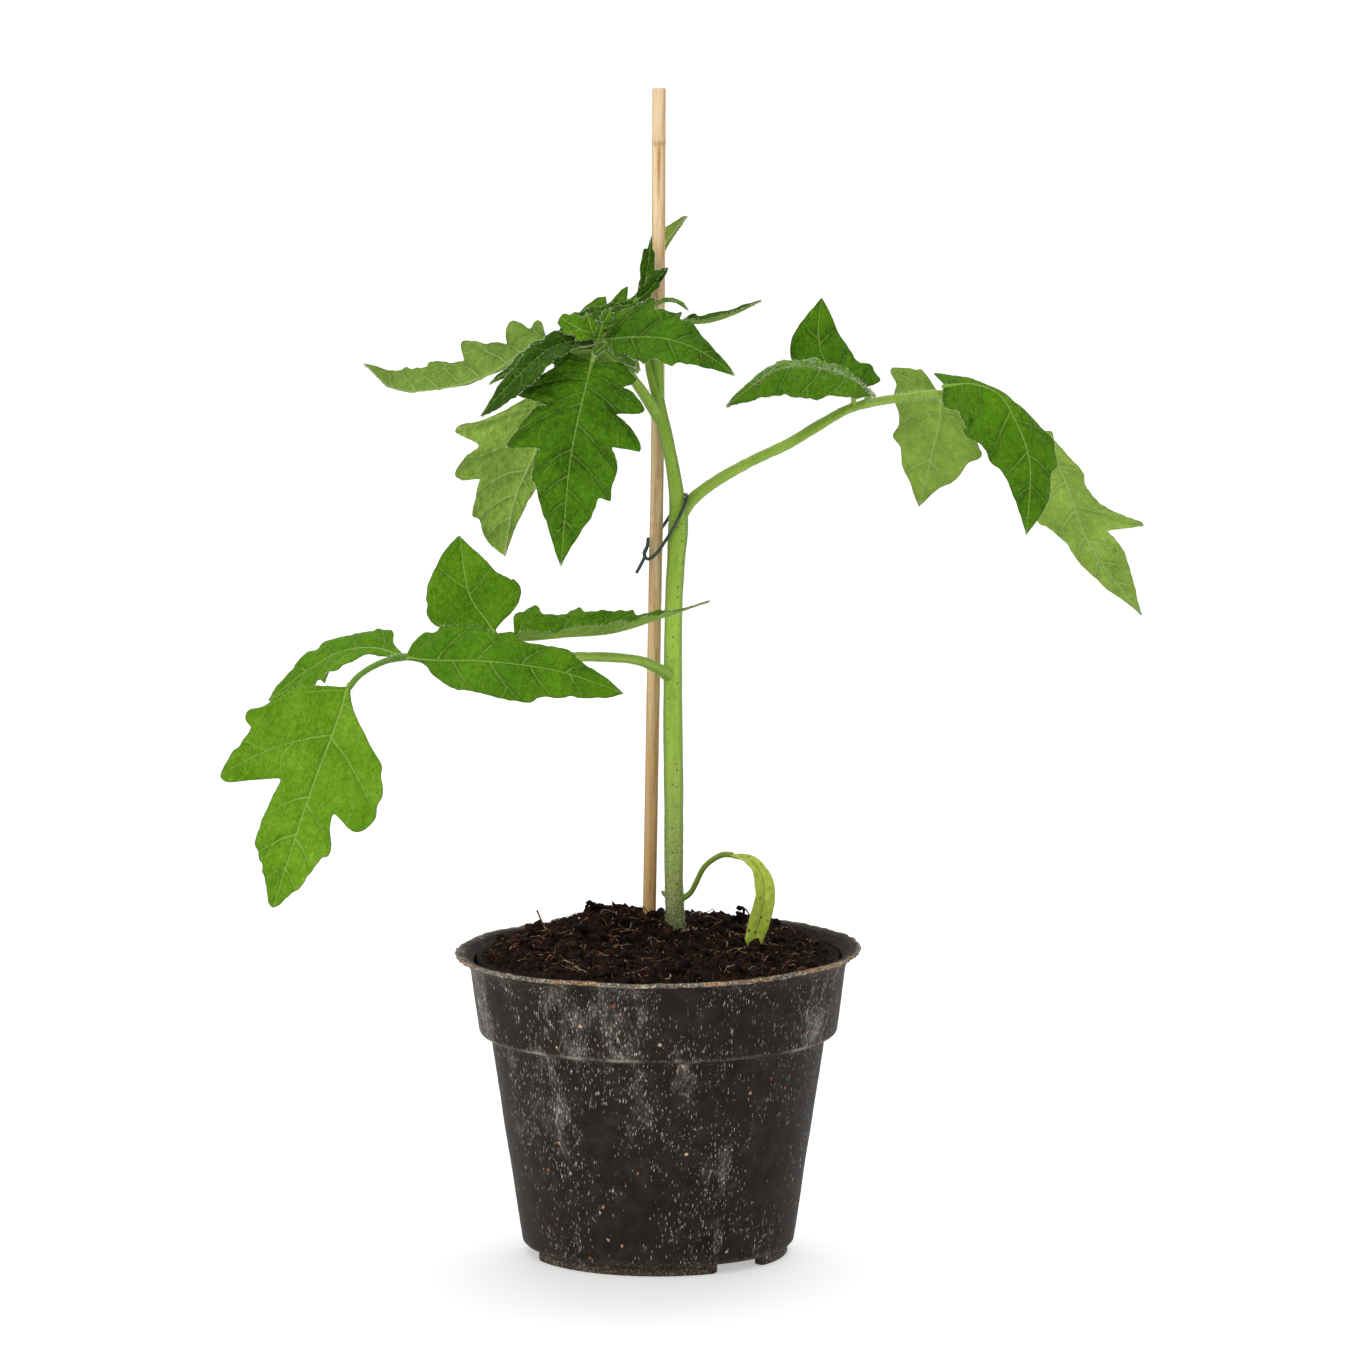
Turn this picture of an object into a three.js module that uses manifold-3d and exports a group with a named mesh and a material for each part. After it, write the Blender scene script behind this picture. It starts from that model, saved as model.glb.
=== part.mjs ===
// A young tomato plant in a round nursery pot, tied to a split bamboo stake.
// Millimetres, +Z up, the pot stands on Z = 0. Sizes are given from the pot's axis, with the
// front of the plant towards -Y and its right towards +X. The group is then shifted sideways, so
// that its origin is the middle of the plant's box on the ground.
import * as THREE from "three";
import { mergeVertices } from "three/addons/utils/BufferGeometryUtils.js";
import Module from "manifold-3d";

const wasm = await Module();
wasm.setup();

// Clearance between neighbouring pieces.
const GAP = 0.3;

// Pot: a 12 cm nursery pot.
const POT_SIDES = 48;
const LIP_RADIUS = 60;
const POT_HEIGHT = 91;
const LIP_EDGE = 1.1;
const COLLAR_TOP_RADIUS = 55.4;
const COLLAR_BOTTOM_RADIUS = 53;
const COLLAR_BOTTOM = 66.8;
const BODY_TOP_RADIUS = 49.4;
const BODY_TOP = 64.8;
const BODY_BOTTOM_RADIUS = 40.2;
const BODY_BOTTOM = 2.9;
const WALL = 1.2;
const FLOOR_TOP = 5.8;
const HEEL = 1; // rounding between the body and the floor
const SEAM = 0.4; // rounding at the collar's lower edge and at the body's top
// The lip: [out from the collar's face, down from the pot's top], below it and back over it.
const LIP_BELOW = [[0, 5.5], [0.8, 3.4], [2.6, 1.8]];
const LIP_ABOVE = [[1.6, 0.5], [-1, 2.6], [-1.4, 6]];
const FOOT = { inner: 35.6, outer: 38.4, height: 4 };
const NOTCH = { count: 3, width: 17, height: 2.8, first: 40 }; // first: degrees from the front to +X
const DRAIN = { radius: 4, circle: 21, sides: 16 };

// Compost: a dome with a mound behind the stem and a lower one behind it to the right. Its top
// has rings of points, and crumbs lie half sunk in it, clear of the seed leaf's tip.
const SOIL_EDGE = 88.6;
const SOIL_DOME = 4.4;
const SOIL_GAP = 0.6; // to the pot's wall
const SOIL_RINGS = 6;
const SOIL_ROUGH = { height: 0.5, acrossX: 0.9, acrossY: 0.8, wander: 0.4 };
const MOUNDS = [
  { x: -14, y: 22, height: 6.4, width: 13 },
  { x: 20, y: 37, height: 3.4, width: 14 },
];
const CRUMBS = { count: 18, smallest: 1.1, spread: 1.7, reach: 0.92, sunk: 0.1, clear: 7, seed: 7 };

// Main stem: [x, y, z, radius] from the compost to the growing tip.
const STEM = [
  [5.8, 12, 70, 2.6],
  [5.3, 12, 94.5, 3.6],
  [4.9, 12, 103, 3.4],
  [4.7, 12, 109.5, 2.8],
  [4.7, 12.5, 133, 2.85],
  [4.4, 12.5, 163, 2.8],
  [4.7, 13, 193, 2.55],
  [5.4, 13, 206, 2.75],
  [6, 13, 217, 2.9],
  [5.5, 12.5, 225, 1.9],
  [4.2, 11.5, 234, 1.5],
  [1.8, 10, 245, 1.5],
  [-0.2, 9, 254.5, 1.4],
  [-2.3, 8.5, 263.5, 1.3],
  [-2.6, 8.5, 273.5, 1.1],
  [-2.4, 9, 280, 0.9],
];
const SEED_LEAF_SCAR = [
  [4.4, 12, 104.4, 1.1],
  [1.5, 11.4, 105.4, 0.8],
  [0.5, 11.2, 106.3, 0.5],
];

// Split bamboo stake: a round stick, a little bowed, from deep in the compost to the highest point.
const STAKE_RADIUS = 1.95;
const STAKE = [
  [-4.2, 24.9, 14],
  [-2.5, 20.8, 105],
  [-1.7, 18.7, 150],
  [-0.9, 16.8, 193],
  [-0.1, 14.7, 240],
  [0.4, 10, 344.5],
];

// Coated wire: a slanted loop round the stem and the stake, and its two twisted ends.
const WIRE_RADIUS = 0.5;
const WIRE_STEPS = 20;
const WIRE_FRONT = [
  [-2.9, 13.6, 211.2],
  [-3.3, 14.4, 208.4],
  [-4, 14.6, 206.4],
  [-3, 13.4, 205.2],
  [-0.3, 12.1, 207.2],
  [1.8, 10.4, 210.4],
  [4.6, 9.1, 215],
  [7.4, 9.3, 220.6],
  [8.5, 11.6, 223.9],
  [8.3, 14, 224.4],
];
const WIRE_BACK = [
  [8.4, 13.6, 224.4],
  [7, 16.3, 223.6],
  [5.4, 17, 220.4],
  [3.3, 17.5, 217.2],
  [1.6, 18.4, 214.5],
  [-0.9, 19.4, 211],
  [-3.2, 18.5, 208.2],
  [-4.1, 16.2, 206.8],
  [-4, 14.4, 205.6],
  [-5, 13.6, 203.6],
  [-6.2, 13, 201.4],
];

// Old seed leaf: a thin stalk that arches over, then a strap that bends down onto the compost.
const SEED_STALK = [
  [6, 12, 103.2, 0.8],
  [9.5, 10, 105.8, 0.7],
  [14, 6, 114.6, 0.7],
  [18.9, 3, 118.4, 0.8],
  [22, 1, 118.8, 0.8],
];
const SEED_BLADE = {
  rib: [
    [21.3, 1.4, 118.7],
    [27.4, -3, 117.6],
    [30.8, -6, 113],
    [31.2, -8, 106.7],
    [29.8, -9, 99.5],
    [28.2, -10, 93],
  ],
  face: [0.7, -0.6, 0.5],
  faceTip: [0.35, -0.93, 0.2],
  fold: [12, 4],
  sweep: [0, 10],
  left: [[0, 0.8], [0.2, 2.4], [0.45, 3.2], [0.7, 3], [0.9, 2.5], [1, 1.4]],
  right: [[0, 0.8], [0.2, 2.4], [0.45, 3.2], [0.7, 3], [0.9, 2.5], [1, 1.4]],
};
const SEED_TIP = SEED_BLADE.rib.at(-1);

// Leaflets. rib is the midrib from base to tip, face the way that the upper side looks, and fold
// the angle in degrees by which each half is raised towards the upper side, at base and tip.
// The side veins lean forward by sweep degrees, from base to tip. left and right list the margin,
// seen on the upper side with the tip away: [u, w] is w mm out from the midrib, measured along
// the side vein that leaves it at the share u of its length, so a high w between two low ones is
// a lobe that points along its vein.
const BLADE = 0.7;
const ROW_GAP = 0.012; // margin points closer than this share a row
const NECK = { radius: 0.6, sunk: 1.2, share: 0.16, sides: 5 };

const LOWER_LEFT = {
  stalks: [
    [[3.6, 12, 170.5, 1.9], [-0.3, 6, 173.8, 1.6], [-5, 0, 176.7, 1.4], [-10.5, -6, 178.4, 1.4],
      [-17, -12, 179.6, 1.4], [-28.5, -22, 181, 1.4], [-47, -33, 182.8, 1.3], [-73, -45, 184.2, 1.1],
      [-80.6, -52, 183.1, 0.9], [-86.2, -56, 180, 0.9], [-89, -58, 176.7, 0.9]],
    [[-47, -33, 182.8, 0.9], [-47.2, -26, 185.6, 0.7], [-47.4, -22, 188, 0.6]],
    [[-40, -29, 182.4, 0.9], [-41.5, -26, 185.1, 0.7], [-41.9, -24, 186.5, 0.6]],
  ],
  leaflets: [
    {
      rib: [[-89, -58, 177.3], [-92, -62, 168], [-100, -68, 147], [-110.3, -73, 115.7]],
      face: [-0.1, -0.95, 0.3],
      fold: [14, 4],
      sweep: [-12, 40],
      left: [[0, 0.5], [0.1, 4], [0.21, 11.5], [0.27, 18], [0.34, 20.5], [0.41, 21], [0.475, 19.5],
        [0.5, 15.5], [0.52, 9], [0.57, 10], [0.625, 11.2], [0.67, 9.3], [0.79, 6.7], [0.95, 1.9],
        [1, 0.4]],
      right: [[0, 0.5], [0.03, 5], [0.12, 14], [0.18, 20.5], [0.235, 25], [0.29, 22.5],
        [0.36, 24.5], [0.425, 26], [0.455, 23.5], [0.47, 10.5], [0.5, 9.6], [0.6, 11],
        [0.67, 10.8], [0.77, 7.7], [0.94, 2.5], [1, 0.4]],
    },
    {
      rib: [[-73.4, -44.4, 184.3], [-82, -36, 185.6], [-92.5, -26, 183], [-103, -18, 176],
        [-114, -12, 166.8]],
      face: [-0.2, -0.65, 0.75],
      fold: [10, 5],
      sweep: [-5, 40],
      left: [[0, 0.5], [0.12, 2.5], [0.21, 3], [0.28, 7], [0.34, 10.5], [0.45, 11], [0.52, 8.5],
        [0.6, 9.5], [0.75, 6.5], [0.9, 3], [1, 0.4]],
      right: [[0, 0.5], [0.11, 2.7], [0.165, 6.7], [0.235, 7], [0.335, 6], [0.43, 4.5],
        [0.58, 7], [0.68, 6.5], [0.78, 4], [0.9, 2], [1, 0.4]],
    },
    {
      rib: [[-47.4, -22, 188], [-49.8, -19, 191], [-55, -14, 198], [-58.2, -6, 214.5]],
      face: [0.1, -0.9, 0.4],
      fold: [10, 5],
      sweep: [-12, 40],
      left: [[0, 0.5], [0.06, 5], [0.17, 9.5], [0.29, 14], [0.35, 14.4], [0.42, 12.7], [0.52, 10.6],
        [0.73, 6.2], [0.9, 2.5], [1, 0.4]],
      right: [[0, 0.5], [0.07, 4.5], [0.14, 9.8], [0.2, 13.4], [0.34, 13.4], [0.53, 9.2],
        [0.77, 4], [0.92, 1.5], [1, 0.4]],
    },
    {
      rib: [[-73, -45, 184], [-65.6, -50, 184], [-47.3, -56, 184.3], [-28, -58, 181.7],
        [-9.9, -57, 175.4]],
      face: [0.05, -0.8, 0.6],
      fold: [10, 4],
      sweep: [0, 45],
      left: [[0, 0.5], [0.015, 6.5], [0.05, 10], [0.18, 11], [0.265, 11.8], [0.335, 9], [0.44, 9.4],
        [0.47, 7.3], [0.57, 7.7], [0.68, 6.7], [0.8, 4.6], [0.92, 2.2], [1, 0.4]],
      right: [[0, 0.5], [0.12, 3], [0.18, 7], [0.27, 10], [0.39, 12], [0.51, 12.2], [0.55, 10],
        [0.71, 7.2], [0.86, 4], [0.94, 2.3], [1, 0.4]],
    },
    {
      rib: [[-41.6, -24, 186.5], [-27.5, -20, 186.9], [-13.2, -14, 187.2], [1.5, -6, 190.6],
        [15.2, 1, 194.5]],
      face: [0, -0.12, 1],
      fold: [42, 30],
      sweep: [0, 50],
      left: [[0, 0.5], [0.015, 5.7], [0.06, 9.7], [0.105, 12.7], [0.14, 9], [0.2, 8.8],
        [0.27, 10.8], [0.325, 8.8], [0.44, 8], [0.55, 7.2], [0.585, 4.8], [0.74, 2.9], [0.89, 1],
        [1, 0.4]],
      right: [[0, 0.5], [0.015, 5.4], [0.1, 6.5], [0.2, 6.5], [0.33, 8.9], [0.5, 8.9], [0.56, 6.5],
        [0.66, 5.6], [0.8, 2.5], [1, 0.4]],
    },
  ],
};

const RIGHT = {
  stalks: [
    [[5.8, 13, 217, 2.2], [9.5, 15, 222, 1.9], [16, 18, 227, 1.7], [27.2, 22, 233, 1.6],
      [38.5, 27, 237.8, 1.6], [48, 33, 242.8, 1.5], [57, 39, 247, 1.4], [70.4, 49, 248.8, 1.3],
      [85.3, 60, 249, 1.2], [98.3, 70, 245.2, 1], [109, 77, 239.3, 0.9], [114, 80, 235.3, 0.8]],
    [[58.3, 39.6, 247.2, 0.9], [58, 38.6, 250.4, 0.7], [57.9, 38, 253.3, 0.6]],
    [[61, 42, 247.8, 0.9], [62.4, 40, 250.1, 0.7], [63.6, 38, 251.5, 0.6]],
    [[85.3, 60, 249, 0.9], [84.9, 64, 247.4, 0.7]],
    [[85.3, 60, 249, 0.9], [86.1, 55, 252, 0.7]],
  ],
  leaflets: [
    {
      rib: [[57.9, 38, 253.3], [53.5, 41, 256.5], [49.4, 45, 261], [47.7, 49, 268], [48.7, 52, 278.7]],
      face: [0.1, -0.9, 0.4],
      fold: [10, 4],
      sweep: [-50, 42],
      left: [[0, 0.5], [0.25, 3], [0.36, 6], [0.45, 8.6], [0.53, 9.6], [0.6, 8.2], [0.75, 4.4],
        [0.86, 2.2], [1, 0.4]],
      right: [[0, 0.5], [0.03, 5.2], [0.08, 7.1], [0.16, 7.9], [0.22, 8.9], [0.26, 7.4],
        [0.33, 7.6], [0.48, 8.3], [0.69, 5.6], [0.91, 1.6], [1, 0.4]],
    },
    {
      rib: [[63.6, 38, 251.5], [56.6, 33, 256.8], [46, 28, 260.6], [35.5, 25, 260.1],
        [20.4, 24, 249.5]],
      face: [0, -0.55, 0.85],
      fold: [-12, -6],
      sweep: [0, 42],
      left: [[0, 0.5], [0.06, 3.5], [0.18, 8], [0.27, 9.4], [0.39, 11.9], [0.5, 12.5], [0.55, 10.8],
        [0.715, 6.5], [0.81, 4.2], [0.92, 1.8], [1, 0.4]],
      right: [[0, 0.5], [0.05, 4], [0.12, 7], [0.2, 6], [0.35, 5], [0.475, 3], [0.57, 4.7],
        [0.61, 3], [0.71, 3], [0.85, 2.2], [1, 0.4]],
    },
    {
      rib: [[84.9, 64, 247.4], [84.7, 68, 240.3], [82.7, 72, 230.8], [80.6, 75, 221],
        [78.7, 76, 213.4]],
      face: [0.1, 0.95, 0.3],
      fold: [10, 4],
      sweep: [-58, 42],
      left: [[0, 0.5], [0.01, 5.5], [0.06, 8], [0.14, 11.5], [0.24, 16], [0.27, 13.6], [0.33, 14.6],
        [0.42, 12.6], [0.49, 12], [0.55, 12.9], [0.58, 9.8], [0.67, 8.3], [0.8, 4.2], [1, 0.4]],
      right: [[0, 0.5], [0.08, 4], [0.16, 4.6], [0.28, 5.6], [0.37, 7], [0.45, 8.8], [0.5, 12],
        [0.55, 15], [0.59, 11.6], [0.67, 9.5], [0.8, 4], [1, 0.4]],
    },
    {
      rib: [[86, 55, 252], [93.7, 50, 253.2], [101.4, 47, 250.5], [106, 45, 243.5],
        [110.6, 44, 231], [110, 45, 208.7]],
      face: [0.15, -0.85, 0.5],
      fold: [-28, -8],
      sweep: [-48, 40],
      left: [[0, 0.5], [0.01, 8], [0.08, 5.5], [0.15, 2.5], [0.24, 1.2], [0.34, 2.4], [0.43, 4.9],
        [0.52, 7.8], [0.59, 10.5], [0.62, 9.4], [0.66, 9.3], [0.69, 7], [0.77, 6.6], [0.86, 4.2],
        [1, 0.4]],
      right: [[0, 0.5], [0.05, 4.4], [0.1, 6.9], [0.16, 8], [0.22, 11.4], [0.34, 13.5],
        [0.455, 15.2], [0.5, 12.8], [0.6, 11.6], [0.65, 9], [0.78, 5.1], [0.9, 2], [1, 0.4]],
    },
    {
      rib: [[114, 80, 235.3], [119.2, 86, 228.5], [123.7, 91, 219.1], [130.8, 97, 200.2],
        [147.4, 103, 176.7]],
      face: [0.25, 0.9, 0.35],
      fold: [8, 4],
      sweep: [5, 50],
      left: [[0, 0.5], [0.04, 4.5], [0.22, 11.4], [0.37, 13.9], [0.44, 10.5], [0.54, 7],
        [0.68, 5.8], [0.89, 2], [1, 0.4]],
      right: [[0, 0.5], [0.03, 4.2], [0.08, 3], [0.185, 4.1], [0.25, 6.4], [0.31, 5.5],
        [0.385, 7.6], [0.41, 10.6], [0.445, 15.8], [0.49, 17.6], [0.51, 12], [0.53, 6.5],
        [0.62, 7.8], [0.77, 5.2], [0.9, 2.1], [1, 0.4]],
    },
  ],
};

const UPPER_LEFT = {
  stalks: [
    [[0.8, 10, 246.8, 1.9], [-2, 7, 251.7, 1.7], [-7.5, 2, 260.2, 1.5], [-12.5, -1.5, 265.6, 1.4],
      [-16.3, -3.5, 269.3, 1.3], [-19.8, -4, 271.7, 1.2], [-25.6, -3, 273.7, 1],
      [-30.6, -1, 272.9, 0.8], [-32.7, 0, 272.2, 0.7]],
    [[-16.9, -3.5, 269.6, 0.9], [-18, -7, 268.6, 0.8], [-19.2, -9, 266.1, 0.7]],
    [[-19.2, -3.5, 271.4, 0.9], [-22.8, 0, 267.2, 0.8], [-26.9, 2, 260.2, 0.7]],
    [[-17, -3.5, 269.6, 0.9], [-16, -4, 272, 0.8]],
    [[-25.4, -3, 273.6, 0.8], [-25.2, 0, 275, 0.7], [-25.1, 2, 275.5, 0.6]],
    [[-25.6, -3, 273.7, 0.8], [-28.5, -4.5, 272.2, 0.6], [-30, -5.5, 270.6, 0.6]],
  ],
  leaflets: [
    {
      rib: [[-19.2, -9, 266], [-22, -15, 255], [-25.3, -21, 239.3], [-28.1, -27, 208.7]],
      face: [-0.05, -0.95, 0.3],
      fold: [8, 4],
      sweep: [-15, 45],
      left: [[0, 0.5], [0.01, 5.6], [0.05, 10.8], [0.11, 14.5], [0.13, 11.2], [0.16, 15.3],
        [0.2, 18.8], [0.225, 12], [0.235, 10.3], [0.3, 17.9], [0.35, 20.3], [0.365, 14.5],
        [0.38, 11.8], [0.46, 14], [0.58, 12.9], [0.605, 9], [0.67, 8.2], [0.78, 4.8], [0.94, 1.3],
        [1, 0.4]],
      right: [[0, 0.5], [0.015, 5.2], [0.09, 12], [0.19, 16], [0.245, 19], [0.255, 13],
        [0.265, 10.2], [0.33, 14.6], [0.41, 18.7], [0.422, 12.5], [0.435, 9.4], [0.5, 10.2],
        [0.57, 9.1], [0.66, 7.1], [0.82, 3.6], [1, 0.4]],
    },
    {
      rib: [[-26.9, 2, 260.2], [-32, 8, 248.6], [-36.2, 12, 237], [-42.2, 14, 222.7],
        [-45.2, 14, 206.3]],
      face: [0.1, 0.95, 0.3],
      fold: [8, 4],
      sweep: [-5, 50],
      left: [[0, 0.5], [0.05, 4], [0.166, 7.5], [0.25, 12.7], [0.3, 18.4], [0.33, 23.4],
        [0.37, 24.3], [0.4, 18.7], [0.42, 15.9], [0.46, 18.5], [0.505, 19.3], [0.54, 16.5],
        [0.56, 11.5], [0.68, 11.5], [0.72, 9], [0.78, 7.8], [0.89, 4.3], [1, 0.4]],
      right: [[0, 0.5], [0.05, 3], [0.15, 8], [0.24, 11.5], [0.3, 7.5], [0.42, 9.5], [0.5, 6],
        [0.63, 4.2], [0.72, 3.3], [0.82, 1.9], [1, 0.4]],
    },
    {
      rib: [[-32.7, 0, 272.2], [-41.3, 3, 266.6], [-49.3, 6, 261.2], [-61.7, 10, 256.7],
        [-77.4, 13, 256], [-86.2, 14, 263]],
      face: [0.05, 0.77, 0.64],
      fold: [52, 44],
      sweep: [-20, 50],
      left: [[0, 0.5], [0.015, 5.2], [0.04, 5], [0.062, 4.8], [0.104, 8.1], [0.145, 9.7],
        [0.167, 8.2], [0.185, 4.4], [0.225, 7.1], [0.323, 11.6], [0.37, 12.6], [0.39, 5.8],
        [0.484, 7.8], [0.555, 8.6], [0.581, 6.6], [0.667, 6.4], [0.79, 4.4], [0.904, 2.1],
        [1, 0.4]],
      right: [[0, 0.5], [0.06, 4.5], [0.15, 7], [0.2, 4], [0.32, 8], [0.37, 5], [0.52, 6],
        [0.75, 3.4], [1, 0.4]],
    },
    {
      rib: [[-16, -4, 272], [-7.8, -9, 273.3], [2.7, -15, 273.4], [12.6, -19, 270.2],
        [22.2, -21, 263.6]],
      face: [0.1, -0.8, 0.6],
      fold: [4, 2],
      sweep: [-40, 45],
      left: [[0, 0.5], [0.03, 5.6], [0.1, 9.8], [0.17, 11.4], [0.24, 10.2], [0.35, 13.8],
        [0.38, 9.4], [0.48, 10.3], [0.5, 7.7], [0.6, 6.6], [0.75, 3.9], [1, 0.4]],
      right: [[0, 0.5], [0.13, 2.8], [0.24, 7.3], [0.31, 6], [0.4, 9], [0.46, 10], [0.5, 7.5],
        [0.58, 8.6], [0.62, 6.8], [0.75, 4.8], [1, 0.4]],
    },
    {
      rib: [[-25.1, 2, 275.5], [-17, 8, 278.4], [-8.2, 12, 280.7], [-4, 14, 281.8]],
      face: [0, -0.3, 1],
      fold: [40, 40],
      sweep: [10, 50],
      left: [[0, 0.5], [0.16, 3], [0.36, 6.6], [0.42, 3.4], [0.56, 6], [0.62, 3.2], [0.75, 4.6],
        [0.83, 2], [1, 0.4]],
      right: [[0, 0.5], [0.16, 2], [0.4, 3], [0.7, 2.4], [1, 0.4]],
    },
    {
      rib: [[-18.3, -4, 270.8], [-22.7, -6.5, 273.9], [-28.5, -7, 278.4]],
      face: [-0.2, -0.8, 0.55],
      fold: [20, 10],
      sweep: [0, 45],
      left: [[0, 0.5], [0.15, 2.4], [0.3, 3.4], [0.38, 2.2], [0.55, 3], [0.75, 1.7], [1, 0.4]],
      right: [[0, 0.5], [0.15, 2.4], [0.3, 3.4], [0.38, 2.2], [0.55, 3], [0.75, 1.7], [1, 0.4]],
    },
    {
      rib: [[-17.7, -4, 270.8], [-19.2, -6.4, 275.1], [-20.6, -6, 280]],
      face: [0, -0.95, 0.3],
      fold: [20, 10],
      sweep: [0, 45],
      left: [[0, 0.5], [0.2, 2], [0.5, 2.2], [0.75, 1.2], [1, 0.4]],
      right: [[0, 0.5], [0.2, 2], [0.5, 2.2], [0.75, 1.2], [1, 0.4]],
    },
    {
      rib: [[-15.8, -4.6, 270.4], [-11, -7, 268.8], [-6.6, -9, 264.6]],
      face: [0.5, -0.4, 0.75],
      fold: [15, 10],
      sweep: [0, 45],
      left: [[0, 0.5], [0.15, 2.6], [0.35, 4], [0.45, 2.8], [0.65, 2.6], [0.85, 1.2], [1, 0.4]],
      right: [[0, 0.5], [0.15, 2.6], [0.35, 4], [0.45, 2.8], [0.65, 2.6], [0.85, 1.2], [1, 0.4]],
    },
    {
      rib: [[-28.5, -4.4, 272.4], [-34.3, -8, 269.2], [-42.5, -12, 264], [-49.1, -14, 260.2]],
      face: [-0.3, -0.6, 0.75],
      fold: [14, 8],
      sweep: [0, 45],
      left: [[0, 0.5], [0.1, 2.6], [0.3, 3.4], [0.36, 2.4], [0.6, 2.6], [0.8, 1.4], [1, 0.4]],
      right: [[0, 0.5], [0.1, 2.6], [0.25, 4.4], [0.33, 2.8], [0.5, 3.6], [0.58, 2.2], [0.8, 1.4],
        [1, 0.4]],
    },
    {
      rib: [[-18, -4.5, 271.6], [-24.1, -7, 272], [-31.4, -10, 270], [-38.9, -14, 264],
        [-45.8, -18, 257.4], [-51.3, -20, 251.6]],
      face: [-0.35, -0.62, 0.7],
      fold: [24, 12],
      sweep: [-10, 45],
      left: [[0, 0.5], [0.04, 2.7], [0.165, 5.6], [0.28, 7.8], [0.394, 8.8], [0.475, 8.7],
        [0.588, 7.7], [0.741, 5.5], [0.882, 3], [1, 0.4]],
      right: [[0, 0.5], [0.03, 3.2], [0.08, 4.5], [0.15, 7], [0.19, 6.8], [0.21, 5], [0.26, 5.1],
        [0.29, 4.8], [0.32, 3.3], [0.38, 4.2], [0.42, 4.5], [0.472, 3.5], [0.579, 3.2],
        [0.702, 2.8], [0.856, 1.3], [1, 0.4]],
    },
  ],
};

const SHOOT_TIP = {
  stalks: [
    [[-2.4, 9, 280.9, 0.9], [-3.2, 8.8, 282.6, 0.9], [-3.8, 8.5, 284, 0.7]],
    [[-2.6, 9, 281.4, 0.8], [-4.4, 10.6, 283, 0.7], [-4.3, 13.6, 285.6, 0.6], [-2.6, 17, 288.7, 0.5]],
    [[-2.5, 8.8, 281.3, 0.8], [-1.4, 6.6, 281.6, 0.6]],
    [[-2.5, 8.8, 281.3, 0.8], [-1, 5.4, 279.4, 0.6], [3, 3.4, 277.6, 0.5], [6.8, 2, 277, 0.5]],
  ],
  leaflets: [
    {
      rib: [[-3.8, 8.5, 283], [-3.5, 7.8, 288.4], [-2.4, 7.3, 295.8], [-1.8, 6.6, 301.5]],
      face: [-0.25, -0.95, 0.1],
      fold: [30, 30],
      sweep: [10, 50],
      left: [[0, 0.6], [0.2, 1.8], [0.5, 1.9], [0.7, 1.5], [0.78, 0.7], [1, 0.4]],
      right: [[0, 0.6], [0.1, 2], [0.22, 3], [0.34, 6.4], [0.4, 2.6], [0.6, 2], [0.75, 1], [1, 0.4]],
    },
    {
      rib: [[-2.6, 17, 288.7], [1.8, 18.5, 297.5], [8.6, 19.4, 306]],
      face: [0.4, 0.9, -0.2],
      fold: [10, 5],
      sweep: [10, 40],
      left: [[0, 0.5], [0.3, 1.8], [0.55, 3], [0.62, 2], [0.8, 1.3], [1, 0.4]],
      right: [[0, 0.5], [0.3, 1.6], [0.55, 2.2], [0.8, 1], [1, 0.4]],
    },
    {
      rib: [[-1.4, 6.6, 281.6], [2.7, 4, 282.8], [6.2, 2, 282.4], [8.9, 1, 280.4]],
      face: [0.1, -0.5, 0.9],
      fold: [30, 20],
      sweep: [10, 40],
      left: [[0, 0.5], [0.3, 1.2], [0.7, 1], [1, 0.4]],
      right: [[0, 0.5], [0.3, 1.2], [0.7, 1], [1, 0.4]],
    },
    {
      rib: [[6.8, 2, 277], [14.4, 0, 277], [22.6, -1, 279.6], [30.2, -2, 283.5]],
      face: [-0.1, -0.15, 1],
      fold: [42, 30],
      sweep: [10, 45],
      left: [[0, 0.5], [0.1, 2.6], [0.16, 1.9], [0.3, 3.4], [0.37, 2.4], [0.6, 2.4], [0.8, 1.3],
        [1, 0.4]],
      right: [[0, 0.5], [0.1, 2.2], [0.4, 2.8], [0.6, 2.2], [0.8, 1.2], [1, 0.4]],
    },
  ],
};

// Solids.

// The geometry as a closed solid: shared corners are merged and faces that collapse are dropped.
function solid(geometry) {
  const bare = geometry.clone();
  bare.deleteAttribute("normal");
  bare.deleteAttribute("uv");
  const merged = mergeVertices(bare, 1e-4);
  const corners = [];
  for (let i = 0; i < merged.index.count; i += 3) {
    const [a, b, c] = [0, 1, 2].map((k) => merged.index.getX(i + k));
    if (a !== b && b !== c && c !== a) corners.push(a, b, c);
  }
  const vertProperties = merged.attributes.position.array;
  const triVerts = new Uint32Array(corners);
  return new wasm.Manifold(new wasm.Mesh({ numProp: 3, vertProperties, triVerts }));
}

const join = (solids) => solids.reduce((whole, next) => whole.add(next));

// The largest body of a solid that a cut may have left in pieces.
const mainBody = (cut) =>
  cut.decompose().reduce((best, body) => (body.volume() > best.volume() ? body : best));

function mesh(name, made, color, roughness, metalness = 0) {
  const { numProp, vertProperties, triVerts } = made.getMesh();
  const geometry = new THREE.BufferGeometry();
  geometry.setAttribute("position", new THREE.BufferAttribute(vertProperties, numProp));
  geometry.setIndex(new THREE.BufferAttribute(triVerts, 1));
  geometry.computeVertexNormals();
  const piece = new THREE.Mesh(
    geometry,
    new THREE.MeshStandardMaterial({ color, roughness, metalness }),
  );
  piece.name = name;
  return piece;
}

const radians = THREE.MathUtils.degToRad;

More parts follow.
